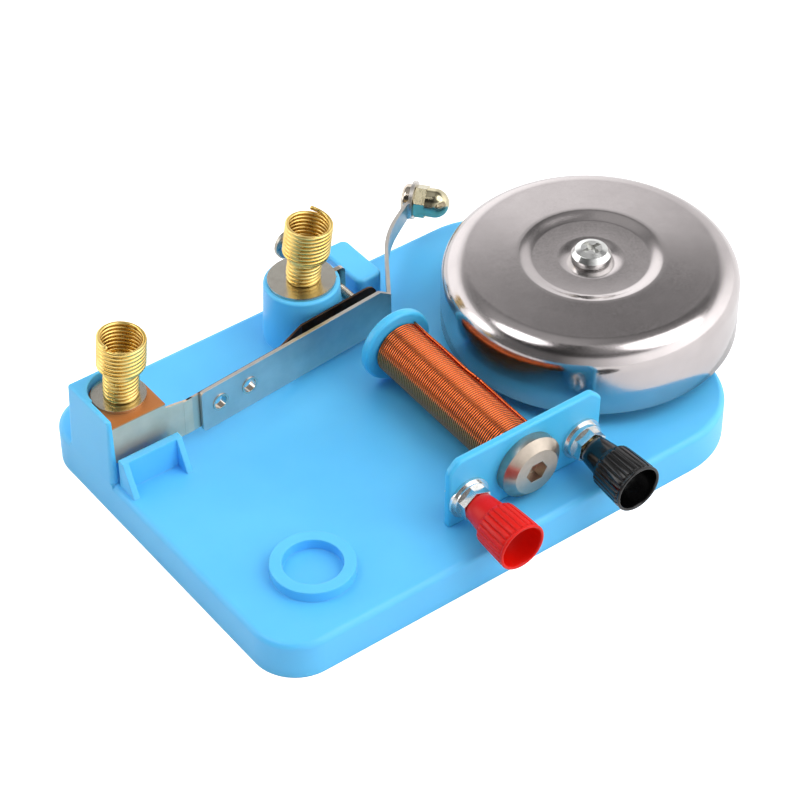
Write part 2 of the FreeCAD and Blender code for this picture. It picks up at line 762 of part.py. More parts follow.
def hammer():
    """The pan-head bolt through the arm's eye and the cap nut that strikes the gong."""
    thick = value("plate_thick")
    eye = arm_route()[-1] + Vector(0, 0, value("eye_z"))
    axis = heading(EYE_HEADING - 90)
    behind = eye - axis * (thick / 2)
    ahead = eye + axis * (thick / 2)
    head = Part.makeCylinder(value("hammer_head"), value("hammer_head_thick"), behind, -axis)
    rim = [edge for edge in head.Edges if edge.BoundBox.Center.distanceToPoint(behind) > 1]
    head = head.makeFillet(value("hammer_head_thick") / 2, rim)
    shank = Part.makeCylinder(value("hammer_shank"), thick + value("cap_hex_thick") + 1.6, behind, axis)
    bolt = doc.addObject("Part::Feature", "hammer_bolt")
    bolt.Shape = head.fuse(shank).removeSplitter()
    place(bolt, ARMATURE_AT, ARMATURE_TURN)
    keep(bolt, "hammer_bolt")

    across = heading(EYE_HEADING) * value("cap_hex")
    upward = Vector(0, 0, value("cap_hex"))
    turns = [math.radians(NUT_TURN + 60 * side) for side in range(7)]
    corners = [ahead + across * math.cos(turn) + upward * math.sin(turn) for turn in turns]
    nut = Part.Face(Part.makePolygon(corners)).extrude(axis * value("cap_hex_thick"))
    chamfer = Part.makeCone(value("cap_hex") - 0.5, value("cap_hex") + 2.5, 3.0, ahead, axis)
    nut = nut.common(chamfer)
    dome = value("cap_dome")
    length = value("cap_length")
    nut = nut.fuse(Part.makeCylinder(dome, length - dome, ahead, axis))
    nut = nut.fuse(Part.makeSphere(dome, ahead + axis * (length - dome)))
    nut = nut.cut(Part.makeCylinder(value("hammer_shank"), value("cap_hex_thick") + 2, ahead, axis))
    cap = doc.addObject("Part::Feature", "hammer_cap_nut")
    cap.Shape = nut.removeSplitter()
    place(cap, ARMATURE_AT, ARMATURE_TURN)
    keep(cap, "hammer_cap_nut")


# ---- contact screw ----

def contact_bracket():
    """A pressed bracket: a tab under terminal 2's washer and an ear that the contact screw goes through."""
    part = new_body("contact_bracket")
    add(part, "bracket_tab", "top", "seat - bracket_thick", "bracket_thick",
        lambda d: rectangle(d, "terminal_2_x - 4.3", "terminal_2_x + 7.3",
                            "terminal_2_y - 4", "terminal_2_y + 4"))
    add(part, "bracket_ear", "front", "-(bracket_front + bracket_wall)", "bracket_wall",
        lambda d: rectangle(d, "terminal_2_x + 4.3", "bracket_right", "bracket_low", "seat"))
    ear_middle = value("bracket_front + bracket_wall / 2")
    soften(part, "ear_corner", "1.2", lambda e: near(e, value("bracket_right"), ear_middle, value("seat")))
    cut(part, "bracket_hole", "top", "seat - 3", "6",
        lambda d: circle(d, "terminal_2_x", "terminal_2_y", "terminal_shank + 0.1"))
    cut(part, "ear_hole", "front", "-(bracket_front + 3)", "6",
        lambda d: circle(d, "contact_x", "contact_z", "contact_radius + running_fit"))


def contact_screw():
    """The threaded stud that meets the leaf, and the disc that turns it."""
    length = "contact_back - contact_tip"
    turned("contact_screw_shaft",
           [("0", "0"), ("contact_radius", "0"), ("contact_radius", f"{length} - 0.4"),
            ("contact_radius - 0.4", length), ("0", length)],
           ("contact_x", "contact_back", "contact_z"), FRONTWARD)
    bore = "contact_radius + running_fit"
    turned("contact_screw_head",
           [("0", "-(contact_head_thick - 0.5)"), ("contact_head - 0.5", "-(contact_head_thick - 0.5)"),
            ("contact_head", "-(contact_head_thick - 1)"), ("contact_head", "0.1"),
            ("contact_head - 0.4", "0.5"), (bore, "0.5"), (bore, "-0.1"), ("0", "-0.1")],
           ("contact_x", "contact_back", "contact_z"), FRONTWARD)


# ---- electromagnet and binding posts ----
# They are built in the former's own frame: forward of its plate's face, and up from the deck. The
# whole former leans forward a little.

FORMER_LEAN = Rotation(Vector(1, 0, 0), value("former_lean"))
FORMER_FRONTWARD = Rotation(Vector(1, 0, 0), 90 + value("former_lean"))


def on_former(x, forward, up):
    """The place of a point of the former."""
    cosine = "cos(former_lean * 1 deg)"
    sine = "sin(former_lean * 1 deg)"
    return (x, f"former_front - ({forward}) * {cosine} - ({up}) * {sine}",
            f"base_height - ({forward}) * {sine} + ({up}) * {cosine}")


def coil_former():
    """The moulded former: a front plate, a tube and a round rear flange."""
    part = new_body("coil_former", ("0", "former_front", "base_height"), FORMER_LEAN)
    add(part, "front_plate", "front", "-former_wall", "former_wall",
        lambda d: polygon(d, [("former_left", "0"), ("former_right", "0"),
                              ("former_right", "former_tall - former_corner"),
                              ("former_right - former_corner", "former_tall"),
                              ("former_left + former_corner", "former_tall"),
                              ("former_left", "former_tall - former_corner")]))
    soften(part, "plate_corners", "former_corner * 0.8",
           lambda e: e.BoundBox.XLength < 1e-4 and e.BoundBox.ZLength < 1e-4 and e.BoundBox.ZMax > 1)
    add(part, "tongue", "front", "-former_wall", "former_wall",
        lambda d: rectangle(d, "tongue_left", "tongue_right", "-tongue_depth", "1"))
    add(part, "tube", "front", "-(flange_back + 1)", "flange_back",
        lambda d: circle(d, "coil_x", "coil_up", "tube_radius"))
    add(part, "flange", "front", "-(flange_back + flange_thick)", "flange_thick",
        lambda d: circle(d, "coil_x", "coil_up", "flange_radius"))
    soften(part, "flange_round", "0.7",
           lambda e: e.BoundBox.XLength > value("2 * flange_radius") - 0.1 and e.BoundBox.YLength < 1e-4)
    cut(part, "core_bore", "front", "-(flange_back + flange_thick + 1)", "flange_back + flange_thick + 3",
        lambda d: circle(d, "coil_x", "coil_up", "tube_bore"))
    for colour in ("red", "black"):
        cut(part, f"{colour}_hole", "front", "-(former_wall + 1)", "former_wall + 2",
            lambda d: circle(d, f"post_{colour}_x", "post_up", "stud_radius + 0.1"))


def electromagnet():
    """The copper winding, its lead along the side and the flat-headed core bolt."""
    length = "flange_back - former_wall - 0.1"
    back = "-(flange_back - 0.05)"
    ring("coil_winding", "winding_radius", "tube_radius + 0.05", length,
         on_former("coil_x", back, "coil_up"), FORMER_FRONTWARD)
    reach = "(winding_radius + lead_wire + 0.02)"
    lead = doc.addObject("Part::Cylinder", "coil_lead")
    bind(lead, "Radius", "lead_wire")
    bind(lead, "Height", length)
    place(lead, on_former(f"coil_x + {reach} * sin(lead_angle * 1 deg)", back,
                          f"coil_up + {reach} * cos(lead_angle * 1 deg)"), FORMER_FRONTWARD)
    keep(lead, "coil_lead")
    bolt = turned("core_bolt",
                  [("0", "-core_end"), ("core_radius", "-core_end"), ("core_radius", "0"), ("core_head", "0"),
                   ("core_head", "core_rim"), ("core_face", "core_head_thick"), ("0", "core_head_thick")],
                  on_former("coil_x", "0", "coil_up"), FORMER_FRONTWARD)
    cut(bolt, "core_socket", "top", "core_head_thick - core_socket_depth", "5",
        lambda d: hexagon(d, "core_socket"))


def binding_post(colour):
    """One post through the former's plate: stud, washers, nuts, solder tag and a screw-down knob."""
    x = f"post_{colour}_x"

    def ahead(forward):
        return on_former(x, forward, "post_up")

    shoulder = "stud_back - former_wall"
    end = "stud_back + stud_reach"
    turned(f"{colour}_post_stud",
           [("0", "0"), ("stud_back_radius", "0"), ("stud_back_radius", shoulder), ("stud_radius", shoulder),
            ("stud_radius", end), ("0", end)], ahead("-stud_back"), FORMER_FRONTWARD)
    ring(f"{colour}_post_washer", "post_washer", "stud_radius", "post_washer_thick",
         ahead("0"), FORMER_FRONTWARD)
    ring(f"{colour}_lock_washer", "lock_washer", "stud_radius", f"lock_washer_{colour}",
         ahead("post_washer_thick"), FORMER_FRONTWARD)
    nut_turn = FORMER_FRONTWARD.multiply(Rotation(Vector(0, 0, 1), value(f"nut_turn_{colour}")))
    hex_nut(f"{colour}_post_nut", "post_nut", "stud_radius", "post_nut_thick",
            ahead(f"post_washer_thick + lock_washer_{colour}"), nut_turn)
    ring(f"{colour}_solder_tag", "tag_radius", "stud_back_radius", "tag_thick",
         ahead("-(former_wall + tag_thick)"), FORMER_FRONTWARD)
    hex_nut(f"{colour}_back_nut", "back_nut", "stud_back_radius", "back_nut_thick",
            ahead("-(former_wall + tag_thick + back_nut_thick)"), FORMER_FRONTWARD)
    bush = "knob_length - knob_socket_depth"
    ring(f"{colour}_knob_bush", "bush_radius", "stud_radius + running_fit", f"{bush} - 0.6",
         ahead(f"knob_start_{colour} + 0.4"), FORMER_FRONTWARD)
    knob_cap(colour, ahead(f"knob_start_{colour}"), bush)


def knob_cap(colour, at, bush):
    """The moulded cap of a knob: a neck, a ribbed skirt with a lipped mouth, and a socket inside it."""
    skirt = "knob_neck_length + 0.6"
    lip = "knob_length - 0.8"
    cap = turned(f"{colour}_knob_cap",
                 [("bush_radius + running_fit", "0"), ("knob_neck", "0"),
                  ("knob_shoulder", "knob_neck_length"), ("knob_skirt", skirt),
                  ("knob_skirt + 0.5", lip), ("knob_mouth", lip),
                  ("knob_mouth", "knob_length - 0.15"), ("knob_mouth - 0.15", "knob_length"),
                  ("knob_socket", "knob_length"), ("knob_socket - 0.7", bush),
                  ("bush_radius + running_fit", bush)], at, FORMER_FRONTWARD)
    rib = spin(cap, f"{colour}_rib",
               [("knob_skirt - 0.1", f"{skirt} + 0.1"), ("knob_skirt + rib_height", f"{skirt} + 0.3"),
                ("knob_skirt + rib_height + 0.5", f"{lip} - 0.1"), ("knob_skirt + 0.4", f"{lip} - 0.1")],
               "180 / rib_count")
    ribs = cap.newObject("PartDesign::PolarPattern", f"{colour}_ribs")
    ribs.Originals = [rib]
    ribs.Axis = (rib.Profile[0], ["V_Axis"])
    ribs.Angle = 360
    bind(ribs, "Occurrences", "rib_count")
    cap.Tip = ribs
    worked_out(ribs)


# ---- gong ----

def gong():
    """The drawn cup, its screw with a cross recess and the nut under the pillar."""
    crown = "gong_top - gong_dish"
    inner = "gong_radius - gong_sheet"
    shell = turned("gong_shell",
                   [("gong_radius", "gong_rim"), ("gong_radius", "gong_top"),
                    ("gong_step + gong_step_half", "gong_top"), ("gong_step - gong_step_half", crown),
                    ("gong_shank + 0.1", crown), ("gong_shank + 0.1", f"{crown} - gong_sheet"),
                    ("gong_step - gong_step_half + 0.3", f"{crown} - gong_sheet"),
                    ("gong_step + gong_step_half + 0.3", "gong_top - gong_sheet"),
                    (inner, "gong_top - gong_sheet"), (inner, "gong_rim")], ("gong_x", "gong_y", "0"))
    top = value("gong_top")
    soften(shell, "outer_shoulder", "gong_shoulder",
           lambda e: level(e, top) and e.BoundBox.XLength > value("2 * gong_radius") - 1)
    soften(shell, "inner_shoulder", "gong_shoulder - gong_sheet",
           lambda e: level(e, value("gong_top - gong_sheet")) and
           e.BoundBox.XLength > value("2 * gong_radius - 2 * gong_sheet") - 1)
    screw = turned("gong_screw",
                   [("0", "gong_nut_seat - gong_nut_thick - 0.8"),
                    ("gong_shank", "gong_nut_seat - gong_nut_thick - 0.8"), ("gong_shank", crown),
                    ("gong_head", crown), ("gong_head", f"{crown} + 1.3"),
                    ("gong_head - 0.9", f"{crown} + gong_head_thick - 0.5"),
                    ("gong_head - 2.2", f"{crown} + gong_head_thick"), ("0", f"{crown} + gong_head_thick")],
                   ("gong_x", "gong_y", "0"))
    for name, across, along in (("slot_x", "2.4", "0.55"), ("slot_y", "0.55", "2.4")):
        cut(screw, f"gong_screw_{name}", "top", f"{crown} + gong_head_thick - 1.6", "3",
            lambda d: rectangle(d, f"-{across}", across, f"-{along}", along))
    hex_nut("gong_nut", "gong_nut", "gong_shank", "gong_nut_thick",
            ("gong_x", "gong_y", "gong_nut_seat - gong_nut_thick"))


# ---- the whole bell ----

base_moulding()
terminal(1)
terminal(2)
contact_strip_mount()
contact_leaf()
armature_plate()
armature_eyelets()
hammer()
contact_bracket()
contact_screw()
coil_former()
electromagnet()
binding_post("red")
binding_post("black")
gong()
doc.recompute()

for item in doc.Objects:
    if "Invalid" in item.State or "Error" in item.State:
        raise RuntimeError(f"{item.Name} failed: {item.State}")
for item in NODES:
    if item.Shape.isNull() or not item.Shape.isValid() or not item.Shape.Solids:
        raise RuntimeError(f"{item.Label} has no valid solid")

os.makedirs("parts", exist_ok=True)
for item in NODES:
    item.Shape.exportStep(f"parts/{item.Label}.step")
    box = item.Shape.BoundBox
    print(f"{item.Label}: {item.Shape.Volume:.1f} mm3, {len(item.Shape.Solids)} solid, x {box.XMin:.1f} "
          f"{box.XMax:.1f}, y {box.YMin:.1f} {box.YMax:.1f}, z {box.ZMin:.1f} {box.ZMax:.1f}")
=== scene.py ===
# %% [markdown]
# # An electric bell demonstrator
#
# The bell is a classroom kit: a moulded base, a coil on an iron bolt, a sprung steel armature with a
# hammer, a plated gong, two spring terminals and two binding posts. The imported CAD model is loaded
# first and stays as it is: it says where every piece is. Each later cell gives a piece its finish, or
# replaces a plain solid with a detailed mesh in the same place.

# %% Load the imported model
import bpy
import bmesh
from math import cos, pi, radians, sin, sqrt, tan, tanh
from mathutils import Matrix, Quaternion, Vector


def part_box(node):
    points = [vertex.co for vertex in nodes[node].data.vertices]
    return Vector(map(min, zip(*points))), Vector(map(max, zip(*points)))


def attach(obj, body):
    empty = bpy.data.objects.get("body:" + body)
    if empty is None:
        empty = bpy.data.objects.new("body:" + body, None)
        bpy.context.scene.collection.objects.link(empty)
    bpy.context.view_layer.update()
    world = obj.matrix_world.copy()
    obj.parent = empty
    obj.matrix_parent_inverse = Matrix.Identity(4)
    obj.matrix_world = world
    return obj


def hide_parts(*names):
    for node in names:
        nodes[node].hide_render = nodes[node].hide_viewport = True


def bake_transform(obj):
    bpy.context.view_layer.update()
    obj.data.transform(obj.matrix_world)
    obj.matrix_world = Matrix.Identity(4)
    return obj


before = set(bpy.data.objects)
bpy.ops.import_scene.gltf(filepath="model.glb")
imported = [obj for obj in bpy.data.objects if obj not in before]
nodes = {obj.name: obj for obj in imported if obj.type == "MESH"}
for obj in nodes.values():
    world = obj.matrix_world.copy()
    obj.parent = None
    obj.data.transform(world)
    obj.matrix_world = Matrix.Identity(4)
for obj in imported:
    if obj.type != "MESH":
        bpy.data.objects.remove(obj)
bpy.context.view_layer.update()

MM = 0.001

# %% [markdown]
# ## Helpers for materials
#
# A colour is written as the hex value that a paint program shows. Blender's nodes work on linear
# light, so one function turns hex into linear numbers. Another adds a node with its settings and its
# links in one line, which keeps each material short enough to read in one go. A third starts a
# material and sets the shader's own numbers.

# %% Colour and node helpers
def colour(text):
    """The linear colour of an sRGB hex value such as #4FA8E8."""
    parts = [int(text[place:place + 2], 16) / 255 for place in (1, 3, 5)]
    light = [part / 12.92 if part <= 0.04045 else ((part + 0.055) / 1.055) ** 2.4 for part in parts]
    return (*light, 1.0)


def add(tree, kind, settings=None, links=None):
    """Add a node, set its properties or sockets, and link its inputs to other nodes' outputs."""
    node = tree.nodes.new(kind)
    for key, setting in (settings or {}).items():
        if key == "stops":
            ramp = node.color_ramp
            while len(ramp.elements) < len(setting):
                ramp.elements.new(0.5)
            for element, (position, shade) in zip(ramp.elements, setting):
                element.position = position
                element.color = shade
        elif isinstance(key, str) and hasattr(node, key):
            setattr(node, key, setting)
        else:
            node.inputs[key].default_value = setting
    for key, source in (links or {}).items():
        tree.links.new(source, node.inputs[key])
    return node


def start_material(name, **sockets):
    """A new material: its tree and its shader, with the shader's own sockets set."""
    material = bpy.data.materials.new(name)
    material.use_nodes = True
    shader = material.node_tree.nodes["Principled BSDF"]
    for socket, setting in sockets.items():
        shader.inputs[socket.replace("_", " ")].default_value = setting
    return material, material.node_tree, shader


print("the moulding's blue in linear light:", [round(part, 3) for part in colour("#5FC6FF")])

# %% [markdown]
# ## How a surface gets its grain
#
# Most finishes here are made in one of two ways. A moulded surface has grain of one size in all
# directions: noise, scaled from a real size in millimetres, drives a bump and a slight change of
# roughness. A plated or rolled surface has lines that are long one way: the same noise, stretched.
# Wire is too thin for either to show, so its noise only moves its colour and its roughness. Real
# edges are never quite sharp, so a Bevel node rounds the corners of solid pieces in the shading only.

# %% Grain and soft edges
def position(tree, stretch=(1, 1, 1)):
    """The place on the object in millimetres, squeezed or stretched along each axis."""
    place = add(tree, "ShaderNodeTexCoord")
    scale = tuple(1000 * part for part in stretch)
    return add(tree, "ShaderNodeMapping", {"Scale": scale}, {"Vector": place.outputs["Object"]})


def grain(tree, size_mm, stretch=(1, 1, 1), detail=3.0):
    """Noise whose blotches are about size_mm across."""
    spot = position(tree, stretch)
    return add(tree, "ShaderNodeTexNoise", {"Scale": 1 / size_mm, "Detail": detail, "Roughness": 0.6},
               {"Vector": spot.outputs["Vector"]})


def soft_edges(tree, shader, radius_mm, height=None, depth_mm=0.0):
    """Round the corners in the shading, and lay a bump over them."""
    bevel = add(tree, "ShaderNodeBevel", {"samples": 6, "Radius": radius_mm * MM})
    normal = bevel
    if height is not None:
        normal = add(tree, "ShaderNodeBump", {"Strength": 1.0, "Distance": depth_mm * MM},
                     {"Height": height, "Normal": bevel.outputs["Normal"]})
    tree.links.new(normal.outputs["Normal"], shader.inputs["Normal"])


NOISE_LOW, NOISE_HIGH = 0.3, 0.7  # nearly all of a grain's values lie between these


def vary(tree, source, low, high, socket):
    """Let a grain move a number of the shader between two values."""
    spread = add(tree, "ShaderNodeMapRange",
                 {"From Min": NOISE_LOW, "From Max": NOISE_HIGH, "To Min": low, "To Max": high},
                 {"Value": source})
    tree.links.new(spread.outputs["Result"], socket)


def painted_gap_shade(tree, tint, dark):
    """Paint shade into wound wire's colour towards the gap between two turns, where little light gets in."""
    facing = add(tree, "ShaderNodeAttribute", {"attribute_name": "outward"})
    size = add(tree, "ShaderNodeMath", {"operation": "ABSOLUTE"}, {0: facing.outputs["Fac"]})
    share = add(tree, "ShaderNodeMapRange", {"From Min": 0.4, "From Max": 0.9},
                {"Value": size.outputs["Value"]})
    mixed = add(tree, "ShaderNodeMix", {"data_type": "RGBA", 6: dark}, {0: share.outputs["Result"], 7: tint})
    return mixed.outputs[2]


print("helpers:", [helper.__name__ for helper in (position, grain, soft_edges, vary, painted_gap_shade)])

# %% [markdown]
# ## The moulded pieces
#
# The base and the coil former are injection-moulded ABS in two near blues, and the knobs' caps are
# the same plastic in red and black. ABS has an even colour, a satin gloss from the mould's
# spark-eroded wall, and in the blue pieces a little light travels under the surface, which softens
# the shade in the corners. That light is worth having here: without it the inside corners look like
# paint. The grain is a fifth of a millimetre, which is too fine to see alone, but it spreads the
# highlights. The red caps mirror less than the rest, so their shine is half the usual value.

# %% Moulded ABS
SCATTER_DEPTH = 3 * MM
SCATTER_RGB = (0.3, 0.8, 1.0)  # blue light travels furthest under the skin, red least


def moulded_abs(name, skin, deep, roughness, under_skin, shine=0.5):
    """Injection-moulded ABS: an even colour with a satin gloss and soft corners."""
    material, tree, shader = start_material(name, IOR=1.5, Subsurface_Weight=under_skin,
                                            Subsurface_Scale=SCATTER_DEPTH, Specular_IOR_Level=shine)
    shader.inputs["Subsurface Radius"].default_value = SCATTER_RGB
    flow = grain(tree, size_mm=22.0, stretch=(1, 1, 0.5), detail=2.0)
    shade = add(tree, "ShaderNodeValToRGB", {"stops": [(0.35, colour(deep)), (0.65, colour(skin))]},
                {"Fac": flow.outputs["Fac"]})
    tree.links.new(shade.outputs["Color"], shader.inputs["Base Color"])
    spark = grain(tree, size_mm=0.2)
    vary(tree, spark.outputs["Fac"], roughness - 0.04, roughness + 0.05, shader.inputs["Roughness"])
    soft_edges(tree, shader, radius_mm=0.45, height=spark.outputs["Fac"], depth_mm=0.006)
    return material


blue_abs = moulded_abs("moulded_abs_blue", "#5FC6FF", "#5AC1FC", roughness=0.36, under_skin=0.3)
former_abs = moulded_abs("moulded_abs_blue_former", "#4EC0F0", "#49BBEC", roughness=0.32, under_skin=0.3)
red_abs = moulded_abs("moulded_abs_red", "#E01408", "#D61006", roughness=0.3, under_skin=0.04, shine=0.25)
black_abs = moulded_abs("moulded_abs_black", "#050506", "#040404", roughness=0.15, under_skin=0.0)
print("moulded finishes:", blue_abs.name, former_abs.name, red_abs.name, black_abs.name)

# %% [markdown]
# ## Plated and bare metals
#
# A plated screw is steel under a few microns of nickel or zinc: nickel is warm and bright, zinc is
# cooler and a little cloudy. Both show faint blotches of colour and fine scratches from the barrel in
# which they were plated, and the turned brass of the knobs' bushes shows much the same. A rolled strip
# shows lines along its length instead, and drawn wire neither. A metal's colour is all in its base
# colour, with metallic at one and the index of refraction left alone.

# %% Metals
def plated(name, bright, dull, roughness, scratch_mm=0.25):
    """Barrel-plated metal: bright, with cloudy patches of colour and fine scratches."""
    material, tree, shader = start_material(name, Metallic=1.0)
    cloud = grain(tree, size_mm=1.6)
    shade = add(tree, "ShaderNodeValToRGB", {"stops": [(0.35, colour(dull)), (0.65, colour(bright))]},
                {"Fac": cloud.outputs["Fac"]})
    tree.links.new(shade.outputs["Color"], shader.inputs["Base Color"])
    scratch = grain(tree, scratch_mm, stretch=(0.15, 1, 1), detail=4.0)
    vary(tree, scratch.outputs["Fac"], roughness - 0.04, roughness + 0.05, shader.inputs["Roughness"])
    soft_edges(tree, shader, radius_mm=0.09, height=scratch.outputs["Fac"], depth_mm=0.0003)
    return material


def rolled(name, bright, dull, roughness):
    """Rolled strip: fine lines along its length, which is X, seen as streaks of gloss and colour."""
    material, tree, shader = start_material(name, Metallic=1.0)
    lines = grain(tree, size_mm=0.12, stretch=(0.04, 1, 1), detail=4.0)
    cloud = grain(tree, size_mm=7.0)
    both = add(tree, "ShaderNodeMath", {"operation": "MULTIPLY_ADD", 1: 0.35},
               {0: lines.outputs["Fac"], 2: cloud.outputs["Fac"]})
    shade = add(tree, "ShaderNodeValToRGB", {"stops": [(0.5, colour(dull)), (0.85, colour(bright))]},
                {"Fac": both.outputs["Value"]})
    tree.links.new(shade.outputs["Color"], shader.inputs["Base Color"])
    vary(tree, lines.outputs["Fac"], roughness - 0.06, roughness + 0.08, shader.inputs["Roughness"])
    soft_edges(tree, shader, radius_mm=0.1, height=lines.outputs["Fac"], depth_mm=0.002)
    return material


def drawn_brass():
    """Brass wire drawn through a die: smooth and bright, with a slow drift of its tarnish."""
    material, tree, shader = start_material("drawn_brass_wire", Metallic=1.0)
    tarnish = grain(tree, size_mm=4.0)
    shade = add(tree, "ShaderNodeValToRGB",
                {"stops": [(0.35, colour("#EAC46C")), (0.65, colour("#F6D888"))]},
                {"Fac": tarnish.outputs["Fac"]})
    tree.links.new(shade.outputs["Color"], shader.inputs["Base Color"])
    vary(tree, tarnish.outputs["Fac"], 0.24, 0.32, shader.inputs["Roughness"])
    return material


nickel = plated("nickel_plated_steel", "#CFC4B7", "#C3B8AB", roughness=0.13)
bolt_nickel = plated("nickel_plated_bolt", "#BDB1A4", "#B4A99C", roughness=0.32, scratch_mm=0.1)
cap_nickel = plated("nickel_plated_cap", "#CFC6A8", "#C2B898", roughness=0.14)
zinc = plated("zinc_plated_steel", "#E8E8E6", "#DCDCDA", roughness=0.2)
washer_zinc = plated("zinc_plated_washer", "#C6C2B8", "#C0BBB1", roughness=0.22)
screw_steel = plated("dull_nickel_screw", "#B5AFA4", "#A39D92", roughness=0.26)
spring_brass = drawn_brass()
turned_brass = plated("turned_brass", "#E2C68E", "#CBA865", roughness=0.18)
armature_steel = rolled("cold_rolled_steel", "#D8D2CC", "#CAC5C0", roughness=0.36)
metals = (nickel, bolt_nickel, cap_nickel, zinc, washer_zinc, screw_steel, spring_brass, turned_brass,
          armature_steel)
print("metals:", [metal.name for metal in metals])

# %% [markdown]
# ## Bronze that changes tone along a piece
#
# The contact strip is rolled phosphor bronze. It is pale below a height of about 25 mm and redder
# above it, on its top. Its free leaf lies in shade behind the armature and mirrors its dark back, so it
# is painted dark brown, but for the short end where it leaves the strip: painted shade and reflection.
# Two materials on one piece would need a cut in the mesh, so one material passes from the first tone
# to the second over a fraction of a millimetre.

# %% Bronze strip and leaf
def second_tone(material, axis, start, end, tone, beyond):
    """Give a finish another tone on one side of a place, given in millimetres along an axis."""
    tree = material.node_tree
    base_colour = tree.nodes["Principled BSDF"].inputs["Base Color"]
    own_tone = base_colour.links[0].from_socket
    place = add(tree, "ShaderNodeSeparateXYZ", {}, {"Vector": position(tree).outputs["Vector"]})
    edge = add(tree, "ShaderNodeMapRange", {"From Min": start, "From Max": end},
               {"Value": place.outputs[axis]})
    new_input, own_input = (7, 6) if beyond else (6, 7)
    mixed = add(tree, "ShaderNodeMix", {"data_type": "RGBA", new_input: tone},
                {0: edge.outputs["Result"], own_input: own_tone})
    tree.links.new(mixed.outputs[2], base_colour)
    return material


# The strip's tone turns redder between 24.9 and 25.25 mm of height, on its top.
strip_bronze = second_tone(rolled("rolled_phosphor_bronze", "#F0DCC4", "#E4CEB4", roughness=0.55),
                           axis="Z", start=24.9, end=25.25, tone=colour("#D9945E"), beyond=True)
# Painted shade and reflection: the leaf's dark brown stands for the shade behind the armature; its near end
# keeps the strip's pale tone.
leaf_bronze = second_tone(rolled("bronze_leaf_painted_shade", "#6E5647", "#4E3B30", roughness=0.4),
                          axis="X", start=-43.0, end=-42.4, tone=colour("#DFCBB6"), beyond=False)
print("bronzes:", strip_bronze.name, leaf_bronze.name)

# %% [markdown]
# ## Enamelled copper
#
# The coil is wound from copper wire in a thin, clear, amber enamel. The copper gives the colour and
# the broad shine, and the enamel a second, sharper highlight over it, so the material is a metal with
# a tinted coat. Towards the gap between two turns its colour darkens: painted shade. The layers below
# the top one are only glimpsed between two turns, so they share one plain copper, painted dark as shade.

# %% Enamelled copper
def enamelled_copper():
    """Copper wire in amber enamel: a broad orange shine with a sharp one over it."""
    material, tree, shader = start_material("enamelled_copper_wire", Metallic=1.0, Coat_Weight=0.7,
                                            Coat_Roughness=0.06, Coat_IOR=1.5)
    shader.inputs["Coat Tint"].default_value = colour("#FFB478")
    cloud = grain(tree, size_mm=5.0)
    shade = add(tree, "ShaderNodeValToRGB",
                {"stops": [(0.3, colour("#E68C48")), (0.7, colour("#F09A52"))]},
                {"Fac": cloud.outputs["Fac"]})
    # Painted shade: the wire's colour darkens towards the gap between two turns.
    shaded = painted_gap_shade(tree, shade.outputs["Color"], dark=colour("#6E2C10"))
    tree.links.new(shaded, shader.inputs["Base Color"])
    vary(tree, cloud.outputs["Fac"], 0.15, 0.21, shader.inputs["Roughness"])
    return material


copper = enamelled_copper()
# Painted shade: the lower layers are plain copper painted dark, for the shade between the turns.
painted_shade_copper, _, inner_shader = start_material("enamelled_copper_below_painted_shade", Metallic=1.0, Roughness=0.45)
inner_shader.inputs["Base Color"].default_value = colour("#4A1A0A")
print("copper finishes:", copper.name, painted_shade_copper.name)

# %% [markdown]
# ## The gong's plating
#
# The gong is drawn steel, polished and plated. Its mirror isn't perfect: the drawing leaves a fine
# orange peel that breaks reflections into speckles, so the bump is small in height but has grain of
# about a third of a millimetre.

# %% Plated gong
def gong_plating():
    """Polished plating over drawn steel: a mirror with an orange peel that speckles what it shows."""
    material, tree, shader = start_material("polished_plated_gong", Metallic=1.0)
    cloud = grain(tree, size_mm=9.0)
    shade = add(tree, "ShaderNodeValToRGB",
                {"stops": [(0.3, colour("#C2BBBB")), (0.7, colour("#CAC3C3"))]},
                {"Fac": cloud.outputs["Fac"]})
    tree.links.new(shade.outputs["Color"], shader.inputs["Base Color"])
    peel = grain(tree, size_mm=0.35, detail=5.0)
    vary(tree, peel.outputs["Fac"], 0.1, 0.24, shader.inputs["Roughness"])
    bump = add(tree, "ShaderNodeBump", {"Strength": 1.0, "Distance": 0.004 * MM},
               {"Height": peel.outputs["Fac"]})
    tree.links.new(bump.outputs["Normal"], shader.inputs["Normal"])
    return material


gong_finish = gong_plating()
print("gong finish:", gong_finish.name)

# %% [markdown]
# ## Finishes for the CAD solids
#
# Most solids already have the right shape, so they only need their finish. A table from finish to
# node names is easier to check than a line for each node. A node that isn't in it is zinc plated, as
# the nuts, washers and studs are. The few solids that a later cell replaces are dressed too, and that
# never shows. Faces that meet at less than SHARP are shaded as one, so that round pieces look round.

# %% Dress the CAD nodes
FINISHES = {
    blue_abs: ["base_moulding"],
    former_abs: ["coil_former"],
    red_abs: ["red_knob_cap"],
    black_abs: ["black_knob_cap"],
    turned_brass: ["red_knob_bush", "black_knob_bush"],
    strip_bronze: ["contact_strip_mount"],
    leaf_bronze: ["contact_leaf"],
    armature_steel: ["armature_plate"],
    washer_zinc: ["terminal_1_washer", "terminal_2_washer"],
    nickel: ["hammer_bolt", "armature_eyelets", "contact_bracket"],
    bolt_nickel: ["core_bolt"],
    cap_nickel: ["hammer_cap_nut"],
    screw_steel: ["contact_screw_head", "contact_screw_shaft"],
}
SHARP = radians(32)
finish_of = {name: finish for finish, names in FINISHES.items() for name in names}
for name, node in nodes.items():
    node.data.materials.clear()
    node.data.materials.append(finish_of.get(name, zinc))
    node.data.shade_smooth()
    node.data.set_sharp_from_angle(angle=SHARP)
print(f"{len(finish_of)} nodes dressed from the table, the other {len(nodes) - len(finish_of)} in zinc")

